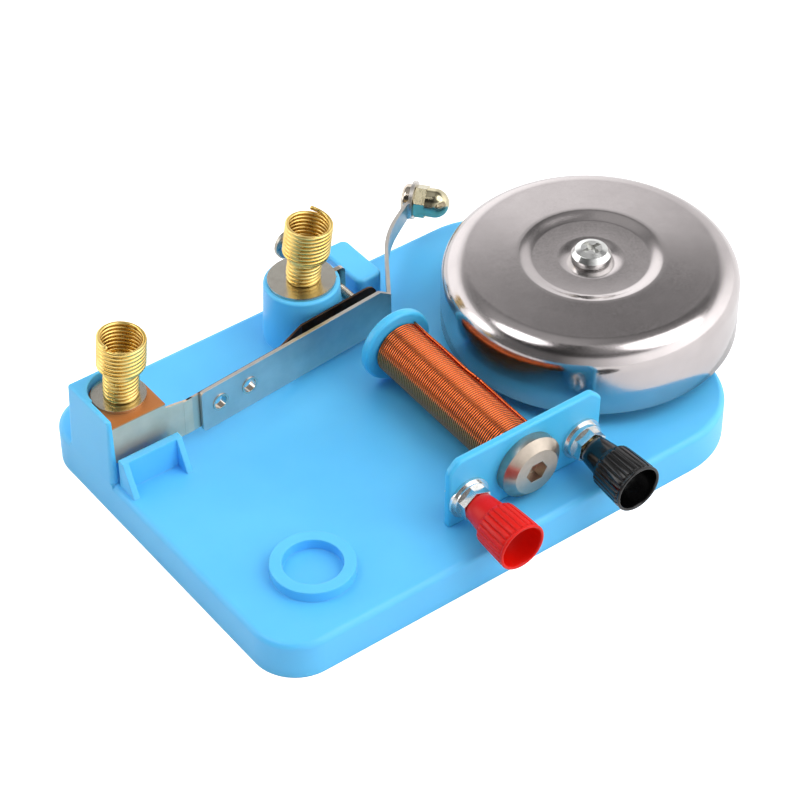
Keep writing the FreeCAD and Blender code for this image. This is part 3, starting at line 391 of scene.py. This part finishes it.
# %% [markdown]
# ## Wire
#
# Springs, windings and leads are all wire: a round section carried along a line. A curve object could
# do this, but a mesh lets the same function round the cut ends and keeps every turn even. The section
# is turned with the line from step to step, so it never twists. Each point also stores how far it
# faces out of the bend, which tells the material where the gap between two turns is, to paint shade there.

# %% A wire along a line
STRAIGHT = 0.02  # millimetres: twice how far a point may be off its neighbours' middle in straight wire
END_DOME = 0.4  # the height of a cut end's dome, as a share of the wire's radius


def join_rings(mesh, rings):
    """Fill the band between each ring of points and the next with four-sided faces."""
    for before, after in zip(rings, rings[1:]):
        for step in range(len(before)):
            beside = (step + 1) % len(before)
            mesh.faces.new((before[step], before[beside], after[beside], after[step]))


def wire(name, line, radius, sides):
    """A mesh tube along a list of points in millimetres, closed with a small dome at each end."""
    points = [Vector(point) for point in line]
    along = [(after - before).normalized() for before, after in
             zip([points[0]] + points[:-1], points[1:] + [points[-1]])]
    bends = [place * 2 - before - after for before, place, after in
             zip([points[0]] + points[:-1], points, points[1:] + [points[-1]])]
    bends[0], bends[-1] = bends[1], bends[-2]
    side = along[0].orthogonal().normalized()
    mesh = bmesh.new()
    outward = mesh.verts.layers.float.new("outward")
    rings = []
    for place, heading, bend in zip(points, along, bends):
        side = (side - heading * side.dot(heading)).normalized()
        across = heading.cross(side)
        ring = []
        for step in range(sides):
            turn = 2 * pi * step / sides
            reach = side * cos(turn) + across * sin(turn)
            point = mesh.verts.new((place + reach * radius) * MM)
            point[outward] = reach.dot(bend.normalized()) if bend.length > STRAIGHT else 1.0
            ring.append(point)
        rings.append(ring)
    join_rings(mesh, rings)
    for ring, place, way in ((rings[0], points[0], -along[0]), (rings[-1], points[-1], along[-1])):
        tip = mesh.verts.new((place + way * radius * END_DOME) * MM)
        for step in range(sides):
            mesh.faces.new((ring[step], ring[(step + 1) % sides], tip))
    bmesh.ops.recalc_face_normals(mesh, faces=mesh.faces)
    return finish_mesh(name, mesh)


def finish_mesh(name, mesh):
    """Turn built geometry into a smooth-shaded object in the scene."""
    data = bpy.data.meshes.new(name)
    mesh.to_mesh(data)
    mesh.free()
    data.shade_smooth()
    piece = bpy.data.objects.new(name, data)
    bpy.context.scene.collection.objects.link(piece)
    return piece


print("wire ends are domed by", END_DOME, "of a radius")

# %% [markdown]
# ## The spring terminals
#
# Each terminal is a close-wound spring of 1 mm brass wire, narrow where a screw clamps it and wide
# where a wire is pushed in. It is one helix whose radius steps out over nearly two turns. There each
# turn lies further out than the last, so it climbs less, and the wires still touch. A foot that lies
# flat on its washer is level on one side and climbs on the other, and this evens out further up. A
# spring that is only clamped at its foot never stands quite straight, so its axis bows over from the
# washer up.

# %% Helix of a terminal
WIRE, PITCH = 1.02, 1.06  # the wire's diameter and the climb of a turn, in millimetres
NARROW, WIDE, STEP_TURNS = 3.64, 5.14, 1.7  # radii of the foot and the cup, and the turns between
STEP_CLIMB = sqrt(WIRE ** 2 - ((WIDE - NARROW) / STEP_TURNS) ** 2)
STEP_BELOW = 1.2  # the helix starts to widen this far below the height called step
PER_TURN = 44
FLAT_TURNS, FLAT_AT = 8, 0.22  # turns until the climb is even, and where in a turn it is level
LEANS_TO, LEAN_AXIS = Vector((0.806, -0.592, 0)), Vector((0.592, 0.806, 0))
BOW_OVER, BOW_FROM = 3.0, 1.5  # the bow is full at the first height and moves the axis from the second
TAIL_TURN = 0.16  # the share of a turn over which the cut end lifts


def terminal_spring(number, foot, lean, step, turns, end, tail=0.0):
    """A close-wound spring on its washer, bent over by lean degrees, with a cup above its step."""
    line = []
    up = WIRE / 2 + 0.02
    first = (step - STEP_BELOW - up) / PITCH
    for index in range(int(turns * PER_TURN) + 1):
        turn = index / PER_TURN
        rise = min(max((turn - first) / STEP_TURNS, 0), 1)
        flat_foot = max(1 - turn / FLAT_TURNS, 0) * cos(2 * pi * (turn - FLAT_AT))
        up += (STEP_CLIMB if 0 < rise < 1 else PITCH * (1 - flat_foot)) / PER_TURN
        radius = NARROW + (WIDE - NARROW) * rise
        last = max(0.0, turn - (turns - TAIL_TURN)) / TAIL_TURN
        heading = 2 * pi * (turn - turns) + radians(end)
        bow = radians(lean) * min(up / BOW_OVER, 1.0)
        centre = Vector(foot) + Vector((0, 0, 1)) * up + LEANS_TO * (tan(bow) * max(up - BOW_FROM, 0))
        flat = Vector((cos(heading), sin(heading), 0)) * radius
        turned = Quaternion(LEAN_AXIS, bow) @ flat
        line.append(centre + turned + Vector((0, 0, tail * last * last)))
    return wire(f"terminal_{number}_spring", line, WIRE / 2, sides=12)


print(f"a turn of the step climbs {STEP_CLIMB:.3f} mm, any other {PITCH} mm")

# %% [markdown]
# ## Both springs
#
# A spring gives way in its neck when a wire is pushed in. Its foot is on the base and its cup on the
# moving body, but each spring here is one still mesh, built from its own row of the table below.

# %% Both springs
SPRINGS = {
    1: {"foot": (-57.95, 26.95, 26.2), "lean": 4.6, "step": 9.3, "turns": 16.14, "end": 200},
    2: {"foot": (-1.95, 35.75, 26.2), "lean": 7.2, "step": 8.1, "turns": 15.73, "end": 52, "tail": 0.6},
}
for number, size in SPRINGS.items():
    spring = terminal_spring(number, **size)
    spring.data.materials.append(spring_brass)
    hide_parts(f"terminal_{number}_spring_foot", f"terminal_{number}_spring_top")
    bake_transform(spring)
    print(spring.name, len(spring.data.vertices), "points")

# %% [markdown]
# ## The coil
#
# The winding is about seventy turns of enamelled wire, laid side by side. It could be a cylinder with
# stripes, but each turn catches the light as a small round wire does, and that is what the eye reads
# as copper, so the wire is modelled turn by turn. The former leans forward a little, and everything
# on it is placed by how far forward of its plate and how far above the deck it is.

# %% Places on the former
FRONT, DECK, LEAN = -38.0, 9.8, radians(1.6)  # the plate's face, the deck's top and the lean
COIL_X, COIL_UP, COIL_RADIUS = 5.75, 8.25, 6.6  # the coil's middle, and its radius over the wire


def on_former(x, forward, up):
    """A point given by the former's own forward and up, in millimetres."""
    return Vector((x, FRONT - forward * cos(LEAN) - up * sin(LEAN),
                   DECK - forward * sin(LEAN) + up * cos(LEAN)))


def on_coil(angle, forward, reach):
    """A point round the coil's axis, with its angle counted from the top."""
    return on_former(COIL_X + reach * sin(angle), forward, COIL_UP + reach * cos(angle))


print("coil's middle at the plate, mm:", [round(part, 1) for part in on_former(COIL_X, 0, COIL_UP)])

# %% Winding
COPPER_RADIUS, TURN_PITCH = 0.3, 0.622
PLATE_BACK, FLANGE_FRONT = -2.05, -47.05
TURN_STEPS = 40


def winding():
    """One layer of wire round the tube, from the plate to the flange."""
    first, last = PLATE_BACK - COPPER_RADIUS, FLANGE_FRONT + COPPER_RADIUS
    turns = (first - last) / TURN_PITCH
    line = []
    for index in range(int(turns * TURN_STEPS)):
        turn = index / TURN_STEPS
        line.append(on_coil(2 * pi * turn, first - TURN_PITCH * turn, COIL_RADIUS - COPPER_RADIUS))
    return wire("coil_turns", line, COPPER_RADIUS, sides=12), turns


coil, turns = winding()
coil.data.materials.append(copper)
core_line = [on_former(COIL_X, forward, COIL_UP) for forward in (PLATE_BACK - 0.05, FLANGE_FRONT + 0.05)]
under = wire("coil_lower_layer", core_line, radius=6.1, sides=64)
under.data.materials.append(painted_shade_copper)
for piece in (coil, under):
    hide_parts("coil_winding")
    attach(piece, "base")
print(f"winding: {turns:.0f} turns, {len(coil.data.vertices)} points")

# %% [markdown]
# ## The winding's lead
#
# The wire's own end is brought back to the plate along the side of the winding. It could be a straight
# rod, but a hand laid it there: half way along it shifts round by a few degrees, and it wavers a
# little besides.

# %% Lead along the coil
LEAD_START, LEAD_LENGTH, LEAD_STEPS = -2.2, 44.6, 90
LEAD_ANGLE = 41  # degrees round from the top of the coil
SHIFT_BY, SHIFT_OVER = 3.2, 0.04  # the shift: degrees each way, and how short, as a share of the length
WAVER_BY, WAVES = 1.0, 3.1


def coil_lead():
    """The wire's own end, brought back along the winding's side, not quite straight."""
    line = []
    for index in range(LEAD_STEPS + 1):
        share = index / LEAD_STEPS
        shift = SHIFT_BY * tanh((0.5 - share) / SHIFT_OVER)
        angle = radians(LEAD_ANGLE + (shift + WAVER_BY * sin(2 * pi * share * WAVES)))
        line.append(on_coil(angle, LEAD_START - LEAD_LENGTH * share, COIL_RADIUS + COPPER_RADIUS))
    return wire("coil_lead_wire", line, COPPER_RADIUS, sides=8)


lead = coil_lead()
lead.data.materials.append(copper)
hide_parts("coil_lead")
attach(lead, "base")
print("lead:", len(lead.data.vertices), "points")

# %% [markdown]
# ## The knobs
#
# A knob is a moulded cap with a smooth neck and a skirt of 24 ribs that a finger can grip. The ribs are
# broad and the grooves between them narrow, and each rib ends in a small rounded shoulder. The cap is
# turned like a lathe piece, but the radius of each ring of points rises and falls with the ribs.

# %% Ribs and outline of a cap
RIBS, FLANK = 24, 0.17  # the ribs, and the share of their spacing that each flank of a rib takes
# Radius, distance along and height of the ribs, in millimetres: neck, shoulder, skirt, rim, socket.
CAP_OUTLINE = [(2.95, 0.0, 0), (3.35, 0.0, 0), (3.55, 0.2, 0), (3.85, 2.4, 0), (4.25, 5.2, 0),
               (4.35, 5.7, 0), (4.6, 5.95, 0.3), (4.95, 6.3, 0.42), (5.02, 7.2, 0.45), (5.25, 10.5, 0.45),
               (5.44, 14.3, 0.45), (5.5, 14.75, 0.3), (5.62, 14.95, 0.0), (5.86, 15.1, 0), (5.93, 15.3, 0),
               (5.9, 15.5, 0), (5.75, 15.65, 0), (5.5, 15.68, 0), (5.3, 15.6, 0), (5.2, 15.4, 0),
               (5.1, 14.0, 0), (4.5, 7.7, 0), (2.95, 7.7, 0)]


def rib_lift(angle):
    """How far a rib stands up at an angle, from 0 in a groove to 1 on a rib's flat."""
    share = (angle * RIBS / (2 * pi)) % 1.0
    into = min(share, 1.0 - share) / FLANK
    return min(into, 1.0) ** 2 * (3 - 2 * min(into, 1.0))


print("a rib stands up by", max(ribbed for _, _, ribbed in CAP_OUTLINE), "mm")

# %% A ribbed cap
POST_UP = 6.8  # the studs' height above the deck


def knob_cap(name, x, start, steps=RIBS * 16):
    """A cap along the former's forward direction: neck, ribbed skirt, rim and the socket inside."""
    mesh = bmesh.new()
    across = Vector((1, 0, 0))
    centre = on_former(x, start, POST_UP)
    ahead = (on_former(x, start + 1, POST_UP) - centre).normalized()
    up = across.cross(ahead)
    rings = []
    for radius, along, ribbed in CAP_OUTLINE:
        ring = []
        for step in range(steps):
            angle = 2 * pi * step / steps
            reach = radius + ribbed * rib_lift(angle)
            side = across * cos(angle) + up * sin(angle)
            ring.append(mesh.verts.new((centre + ahead * along + side * reach) * MM))
        rings.append(ring)
    join_rings(mesh, rings)
    bmesh.ops.recalc_face_normals(mesh, faces=mesh.faces)
    return finish_mesh(name, mesh)


KNOBS = {"red": (-10.3, 3.75, red_abs), "black": (21.45, 4.85, black_abs)}  # x, start and finish
for shade, (x, start, finish) in KNOBS.items():
    cap = knob_cap(f"{shade}_ribbed_cap", x, start)
    cap.data.materials.append(finish)
    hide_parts(f"{shade}_knob_cap")
    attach(cap, f"{shade}_cap")
    print(cap.name, len(cap.data.vertices), "points")

# %% [markdown]
# ## The contact screw's thread
#
# The contact screw has a fine thread of half a millimetre. At this size a thread reads as close light
# and dark lines, so a helix in the surface is worth having: each ring of points is a little out of
# step with the next, which is all a thread is. Its front end is a plain, thinner contact point.

# %% Thread
SCREW_X, SCREW_Z, SCREW_RADIUS = 7.3, 19.3, 1.25
THREAD_PITCH, THREAD_DEPTH = 0.5, 0.22
POINT_LENGTH, POINT_CUT = 1.2, 0.3  # the plain point's length, and how much thinner it is
ROD_SIDES, RINGS_PER_PITCH = 24, 6


def threaded_rod(name, first, last):
    """A rod along Y with a single-start thread, and a short plain point at its front."""
    mesh = bmesh.new()
    count = int((last - first) / THREAD_PITCH * RINGS_PER_PITCH)
    rings = []
    for index in range(count + 1):
        y = first + index * THREAD_PITCH / RINGS_PER_PITCH
        threaded = y >= first + POINT_LENGTH
        ring = []
        for step in range(ROD_SIDES):
            angle = 2 * pi * step / ROD_SIDES
            phase = ((y - first) / THREAD_PITCH - step / ROD_SIDES) % 1.0
            groove = abs(2 * phase - 1) if threaded else 0.0
            reach = (SCREW_RADIUS if threaded else SCREW_RADIUS - POINT_CUT) - THREAD_DEPTH * groove
            point = Vector((SCREW_X + reach * cos(angle), y, SCREW_Z + reach * sin(angle)))
            ring.append(mesh.verts.new(point * MM))
        rings.append(ring)
    join_rings(mesh, rings)
    for ring in (rings[0], rings[-1]):
        mesh.faces.new(ring)
    bmesh.ops.recalc_face_normals(mesh, faces=mesh.faces)
    return finish_mesh(name, mesh)


low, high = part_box("contact_screw_shaft")
rod = threaded_rod("contact_screw_thread", low[1] / MM, high[1] / MM)
rod.data.materials.append(screw_steel)
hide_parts("contact_screw_shaft")
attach(rod, "screw_shaft")
print("thread:", len(rod.data.vertices), "points")

# %% [markdown]
# ## The bend in the strip
#
# The bronze strip is one piece of metal that bends where it leaves the housing, and the joint of the
# armature stands for that bend. A short length of strip is laid over the gap and turns smoothly from
# the fixed part to the moving one, so no line shows where the two solids meet.

# %% Bend
BEND_START, BEND_LENGTH, BEND_STEPS = -46.9, 2.4, 12
JOINT_X, LEAF_TURN = -46.0, radians(4.8)  # where the leaf turns back from the strip, and how far
STRIP_FRONT, STRIP_BACK = 18.86, 19.44  # just outside both faces of the strip


def strip_bend():
    """A short bronze strip over the joint, divided finely so that it can bend."""
    low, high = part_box("contact_leaf")
    bottom, top = low[2] / MM, high[2] / MM
    corners = ((STRIP_FRONT, bottom), (STRIP_FRONT, top), (STRIP_BACK, top), (STRIP_BACK, bottom))
    mesh = bmesh.new()
    rows = []
    for index in range(BEND_STEPS + 1):
        x = BEND_START + BEND_LENGTH * index / BEND_STEPS
        shift = max(x - JOINT_X, 0.0) * tan(LEAF_TURN)
        rows.append([mesh.verts.new(Vector((x, y + shift, z)) * MM) for y, z in corners])
    join_rings(mesh, rows)
    mesh.faces.new(rows[0])
    mesh.faces.new(rows[-1])
    bmesh.ops.recalc_face_normals(mesh, faces=mesh.faces)
    piece = finish_mesh("strip_bend", mesh)
    piece.data.set_sharp_from_angle(angle=SHARP)
    return piece


bend = strip_bend()
bend.data.materials.append(strip_bronze)
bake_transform(bend)
print("bend, mm:", [round(size / MM, 1) for size in bend.dimensions])

# %% [markdown]
# ## The gong
#
# The gong is drawn from sheet into a shallow cup. Its crown is sunk round the screw, a step leads up
# to a nearly flat top that falls a little outwards, and a round shoulder leads down to the wall. It is
# turned from one outline. Its mirror shows every facet, so the mesh is finer than the CAD solid's: the
# shoulder is an arc of 24 steps, the step in the crown a smooth curve of 16, and the whole is turned
# in 256.

# %% Turn an outline
def arc(centre, radius, first, last, steps):
    """Points of an arc in radius and height, between two angles in degrees."""
    angles = [radians(first + (last - first) * step / steps) for step in range(steps + 1)]
    return [(centre[0] + radius * cos(angle), centre[1] + radius * sin(angle)) for angle in angles]


def turn_outline(name, outline, axis, steps=256):
    """Revolve an outline of radius and height in millimetres about an upright axis."""
    mesh = bmesh.new()
    rows = []
    for index in range(steps):
        angle = 2 * pi * index / steps
        rows.append([mesh.verts.new(Vector((axis[0] + radius * cos(angle), axis[1] + radius * sin(angle),
                                            height)) * MM) for radius, height in outline])
    for index in range(steps):
        here, there = rows[index], rows[(index + 1) % steps]
        for step in range(len(outline)):
            after = (step + 1) % len(outline)
            mesh.faces.new((here[step], there[step], there[after], here[after]))
    bmesh.ops.recalc_face_normals(mesh, faces=mesh.faces)
    return finish_mesh(name, mesh)


print("an arc of two steps:", [[round(part, 2) for part in point] for point in arc((0, 0), 1, 90, 0, 2)])

# %% The gong's section
GONG_X, GONG_Y = 52.3, -3.9
RADIUS, RIM, TOP, SHEET, SHOULDER = 35.1, 13.5, 32.2, 0.9, 6.1
SUNK, DOME = 0.9, 0.5  # how far the crown is sunk, and how far the top falls towards the shoulder
CROWN = TOP - SUNK
HOLE, STEP_IN, STEP_OUT = 2.6, 13.6, 17.0  # radii of the hole and of the step's two edges
STEP_WIDTH, FALL_WIDTH = 3.4, 12.0  # how far out the step and the falling top reach
EDGE_IN, EDGE_UP = 0.2, 0.25  # the rim's small chamfers


def gong_outline():
    """The gong's section, from its crown over the shoulder to the rim, and back inside."""
    shoulder = (RADIUS - SHOULDER, TOP - DOME - SHOULDER)
    step = [(STEP_IN + STEP_WIDTH * share, CROWN + SUNK * share * share * (3 - 2 * share))
            for share in [index / 16 for index in range(17)]]
    flat = [(radius, TOP - DOME * (radius - STEP_OUT) / FALL_WIDTH)
            for radius in (18.0, 20.0, 22.0, 24.0, 26.0, 28.0)]
    outer = [(HOLE, CROWN), (8.0, CROWN)] + step + flat
    outer += arc(shoulder, SHOULDER, 90, 0, 24)
    outer += [(RADIUS, 20.0), (RADIUS, RIM + EDGE_UP), (RADIUS - EDGE_IN, RIM)]
    inner = [(RADIUS - SHEET + EDGE_IN, RIM), (RADIUS - SHEET, RIM + EDGE_UP)]
    inner += arc(shoulder, SHOULDER - SHEET, 0, 90, 24)
    inner += [(radius + EDGE_IN, height - SHEET) for radius, height in reversed(step)]
    return outer + inner + [(HOLE, CROWN - SHEET)]


gong = turn_outline("gong_cup", gong_outline(), (GONG_X, GONG_Y))
gong.data.materials.append(gong_finish)
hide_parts("gong_shell")
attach(gong, "base")
print("gong:", len(gong.data.vertices), "points")

# %% [markdown]
# ## The floor
#
# The bell stands on plain pale paper that fades into a white surround. The paper is lit by the lamps,
# and a little glow is added to it for the camera and for mirrors, so that it comes out near white
# while the shadow on it stays.

# %% Floor
GLOW_IN_MIRRORS, GLOW_FOR_CAMERA = 0.3, 0.6  # the camera sees the sum of the two
floor_mesh = bmesh.new()
bmesh.ops.create_grid(floor_mesh, x_segments=1, y_segments=1, size=1.5)
floor = finish_mesh("floor", floor_mesh)
material, tree, shader = start_material("pale_paper_floor", Roughness=0.9, Specular_IOR_Level=0.0)
shader.inputs["Base Color"].default_value = colour("#DEDEDE")
path = add(tree, "ShaderNodeLightPath")
lift = add(tree, "ShaderNodeMath",
           {"operation": "MULTIPLY_ADD", 1: GLOW_FOR_CAMERA, 2: GLOW_IN_MIRRORS},
           {0: path.outputs["Is Camera Ray"]})
glow = add(tree, "ShaderNodeEmission", {"Color": (1, 1, 1, 1)}, {"Strength": lift.outputs["Value"]})
bright = add(tree, "ShaderNodeAddShader", {}, {0: shader.outputs["BSDF"], 1: glow.outputs["Emission"]})
seen = add(tree, "ShaderNodeMath", {"operation": "MAXIMUM"},
           {0: path.outputs["Is Camera Ray"], 1: path.outputs["Is Glossy Ray"]})
mix = add(tree, "ShaderNodeMixShader", {}, {0: seen.outputs["Value"], 1: shader.outputs["BSDF"],
                                            2: bright.outputs["Shader"]})
tree.links.new(mix.outputs["Shader"], tree.nodes["Material Output"].inputs["Surface"])
floor.data.materials.append(material)
print("floor:", floor.dimensions[:2])

# %% [markdown]
# ## The surround that the metals mirror
#
# A plated metal has little colour of its own: it shows its surroundings. The bell stands in a light
# tent that is pale at the horizon, dark overhead and dark on its left side. Two colour ramps make it.
# One goes from level to straight up, and the other goes round by compass direction, and their product
# is the light. The camera itself sees plain white.

# %% World
AROUND = [(-180, 0.1), (-150, 0.1), (-115, 0.55), (-90, 1.0), (-45, 1.3), (0, 0.9), (18, 0.6), (40, 0.6),
          (56, 1.0), (100, 1.0), (140, 1.0), (160, 0.1), (180, 0.1)]  # degrees round, and strength
UPWARDS = [(0.45, 1.0), (0.585, 0.75), (0.61, 0.38), (0.635, 0.22), (0.667, 0.27), (0.73, 0.13),
           (0.85, 0.28), (1.0, 0.3)]  # the height of a direction, from 0 level to 1 straight up
RAMP_TOP = 1.6  # a ramp holds 0 to 1, so the strengths round about are divided by this
TENT_STRENGTH = 1.6


def grey(level):
    """A neutral light of a given strength."""
    return (level, level, level, 1.0)


world = bpy.data.worlds.new("light_tent")
bpy.context.scene.world = world
world.use_nodes = True
tree = world.node_tree
place = add(tree, "ShaderNodeTexCoord")
split = add(tree, "ShaderNodeSeparateXYZ", {}, {"Vector": place.outputs["Generated"]})
tent = add(tree, "ShaderNodeValToRGB",
           {"stops": [(height, grey(strength)) for height, strength in UPWARDS]},
           {"Fac": split.outputs["Z"]})
heading = add(tree, "ShaderNodeMath", {"operation": "ARCTAN2"},
              {0: split.outputs["Y"], 1: split.outputs["X"]})
turn = add(tree, "ShaderNodeMapRange", {"From Min": -pi, "From Max": pi},
           {"Value": heading.outputs["Value"]})
round_about = add(tree, "ShaderNodeValToRGB",
                  {"stops": [((degrees + 180) / 360, grey(strength / RAMP_TOP))
                             for degrees, strength in AROUND]},
                  {"Fac": turn.outputs["Result"]})
strengths = add(tree, "ShaderNodeMath", {"operation": "MULTIPLY", 1: RAMP_TOP * TENT_STRENGTH},
                {0: round_about.outputs["Color"]})
soft = tree.nodes["Background"]
tree.links.new(tent.outputs["Color"], soft.inputs["Color"])
tree.links.new(strengths.outputs["Value"], soft.inputs["Strength"])
white = add(tree, "ShaderNodeBackground", {"Color": (1, 1, 1, 1), "Strength": 1.0})
path = add(tree, "ShaderNodeLightPath")
mix = add(tree, "ShaderNodeMixShader", {}, {0: path.outputs["Is Camera Ray"], 1: soft.outputs["Background"],
                                            2: white.outputs["Background"]})
tree.links.new(mix.outputs["Shader"], tree.nodes["World Output"].inputs["Surface"])
print("world:", world.name)

# %% [markdown]
# ## Lamps
#
# The key lamp stands above the front right and throws the shadow. Two weaker lamps on the left give
# the coil and the gong their bright bands. A wide fill lamp overhead lifts only what isn't metal: it
# is hidden from mirrors, so the metals keep the tent's dark ceiling.

# %% Lamps
LAMPS = {
    "key": {"towards": (0.42, -0.42, 0.80), "away": 1.0, "size": 0.8, "power": 3.4, "mirrored": True},
    "left": {"towards": (-0.76, 0.52, 0.36), "away": 1.0, "size": 0.4, "power": 0.8, "mirrored": True},
    "top_left": {"towards": (-0.42, 0.22, 0.88), "away": 1.0, "size": 0.5, "power": 2.0, "mirrored": True},
    "fill": {"towards": (0.3, -0.1, 1.0), "away": 1.4, "size": 2.4, "power": 8.0, "mirrored": False},
}
for name, lamp in LAMPS.items():
    light = bpy.data.lights.new(name, "AREA")
    light.shape = "DISK"
    light.size = lamp["size"]
    light.energy = lamp["power"]
    holder = bpy.data.objects.new(name, light)
    holder.visible_glossy = lamp["mirrored"]
    holder.location = Vector(lamp["towards"]).normalized() * lamp["away"]
    holder.rotation_euler = (-holder.location).to_track_quat("-Z", "Y").to_euler()
    bpy.context.scene.collection.objects.link(holder)
print("lamps:", list(LAMPS))

# %% [markdown]
# ## Camera
#
# The camera looks down from the front left through a long lens, which keeps the base's far edges
# nearly parallel to its near ones. Its axes are built from three angles: the way it looks round, how
# far down, and a slight roll.

# %% Camera
lens = bpy.data.cameras.new("camera")
lens.lens = 125.9
lens.sensor_width = 36.0
lens.clip_start = 0.05
camera = bpy.data.objects.new("camera", lens)
azimuth, elevation, roll = radians(-36.291), radians(41.857), radians(-0.545)
back = Vector((sin(azimuth) * cos(elevation), -cos(azimuth) * cos(elevation), sin(elevation)))
level = (-back).cross(Vector((0, 0, 1))).normalized()
upward = level.cross(-back)
right = level * cos(roll) + upward * sin(roll)
above = upward * cos(roll) - level * sin(roll)
turned = Matrix((right, above, back)).transposed().to_4x4()
turned.translation = Vector((-0.28434, -0.38656, 0.44205))
camera.matrix_world = turned
bpy.context.scene.collection.objects.link(camera)
bpy.context.scene.camera = camera
bpy.context.scene.view_settings.view_transform = "Standard"
print("camera at", [round(part, 3) for part in camera.location])
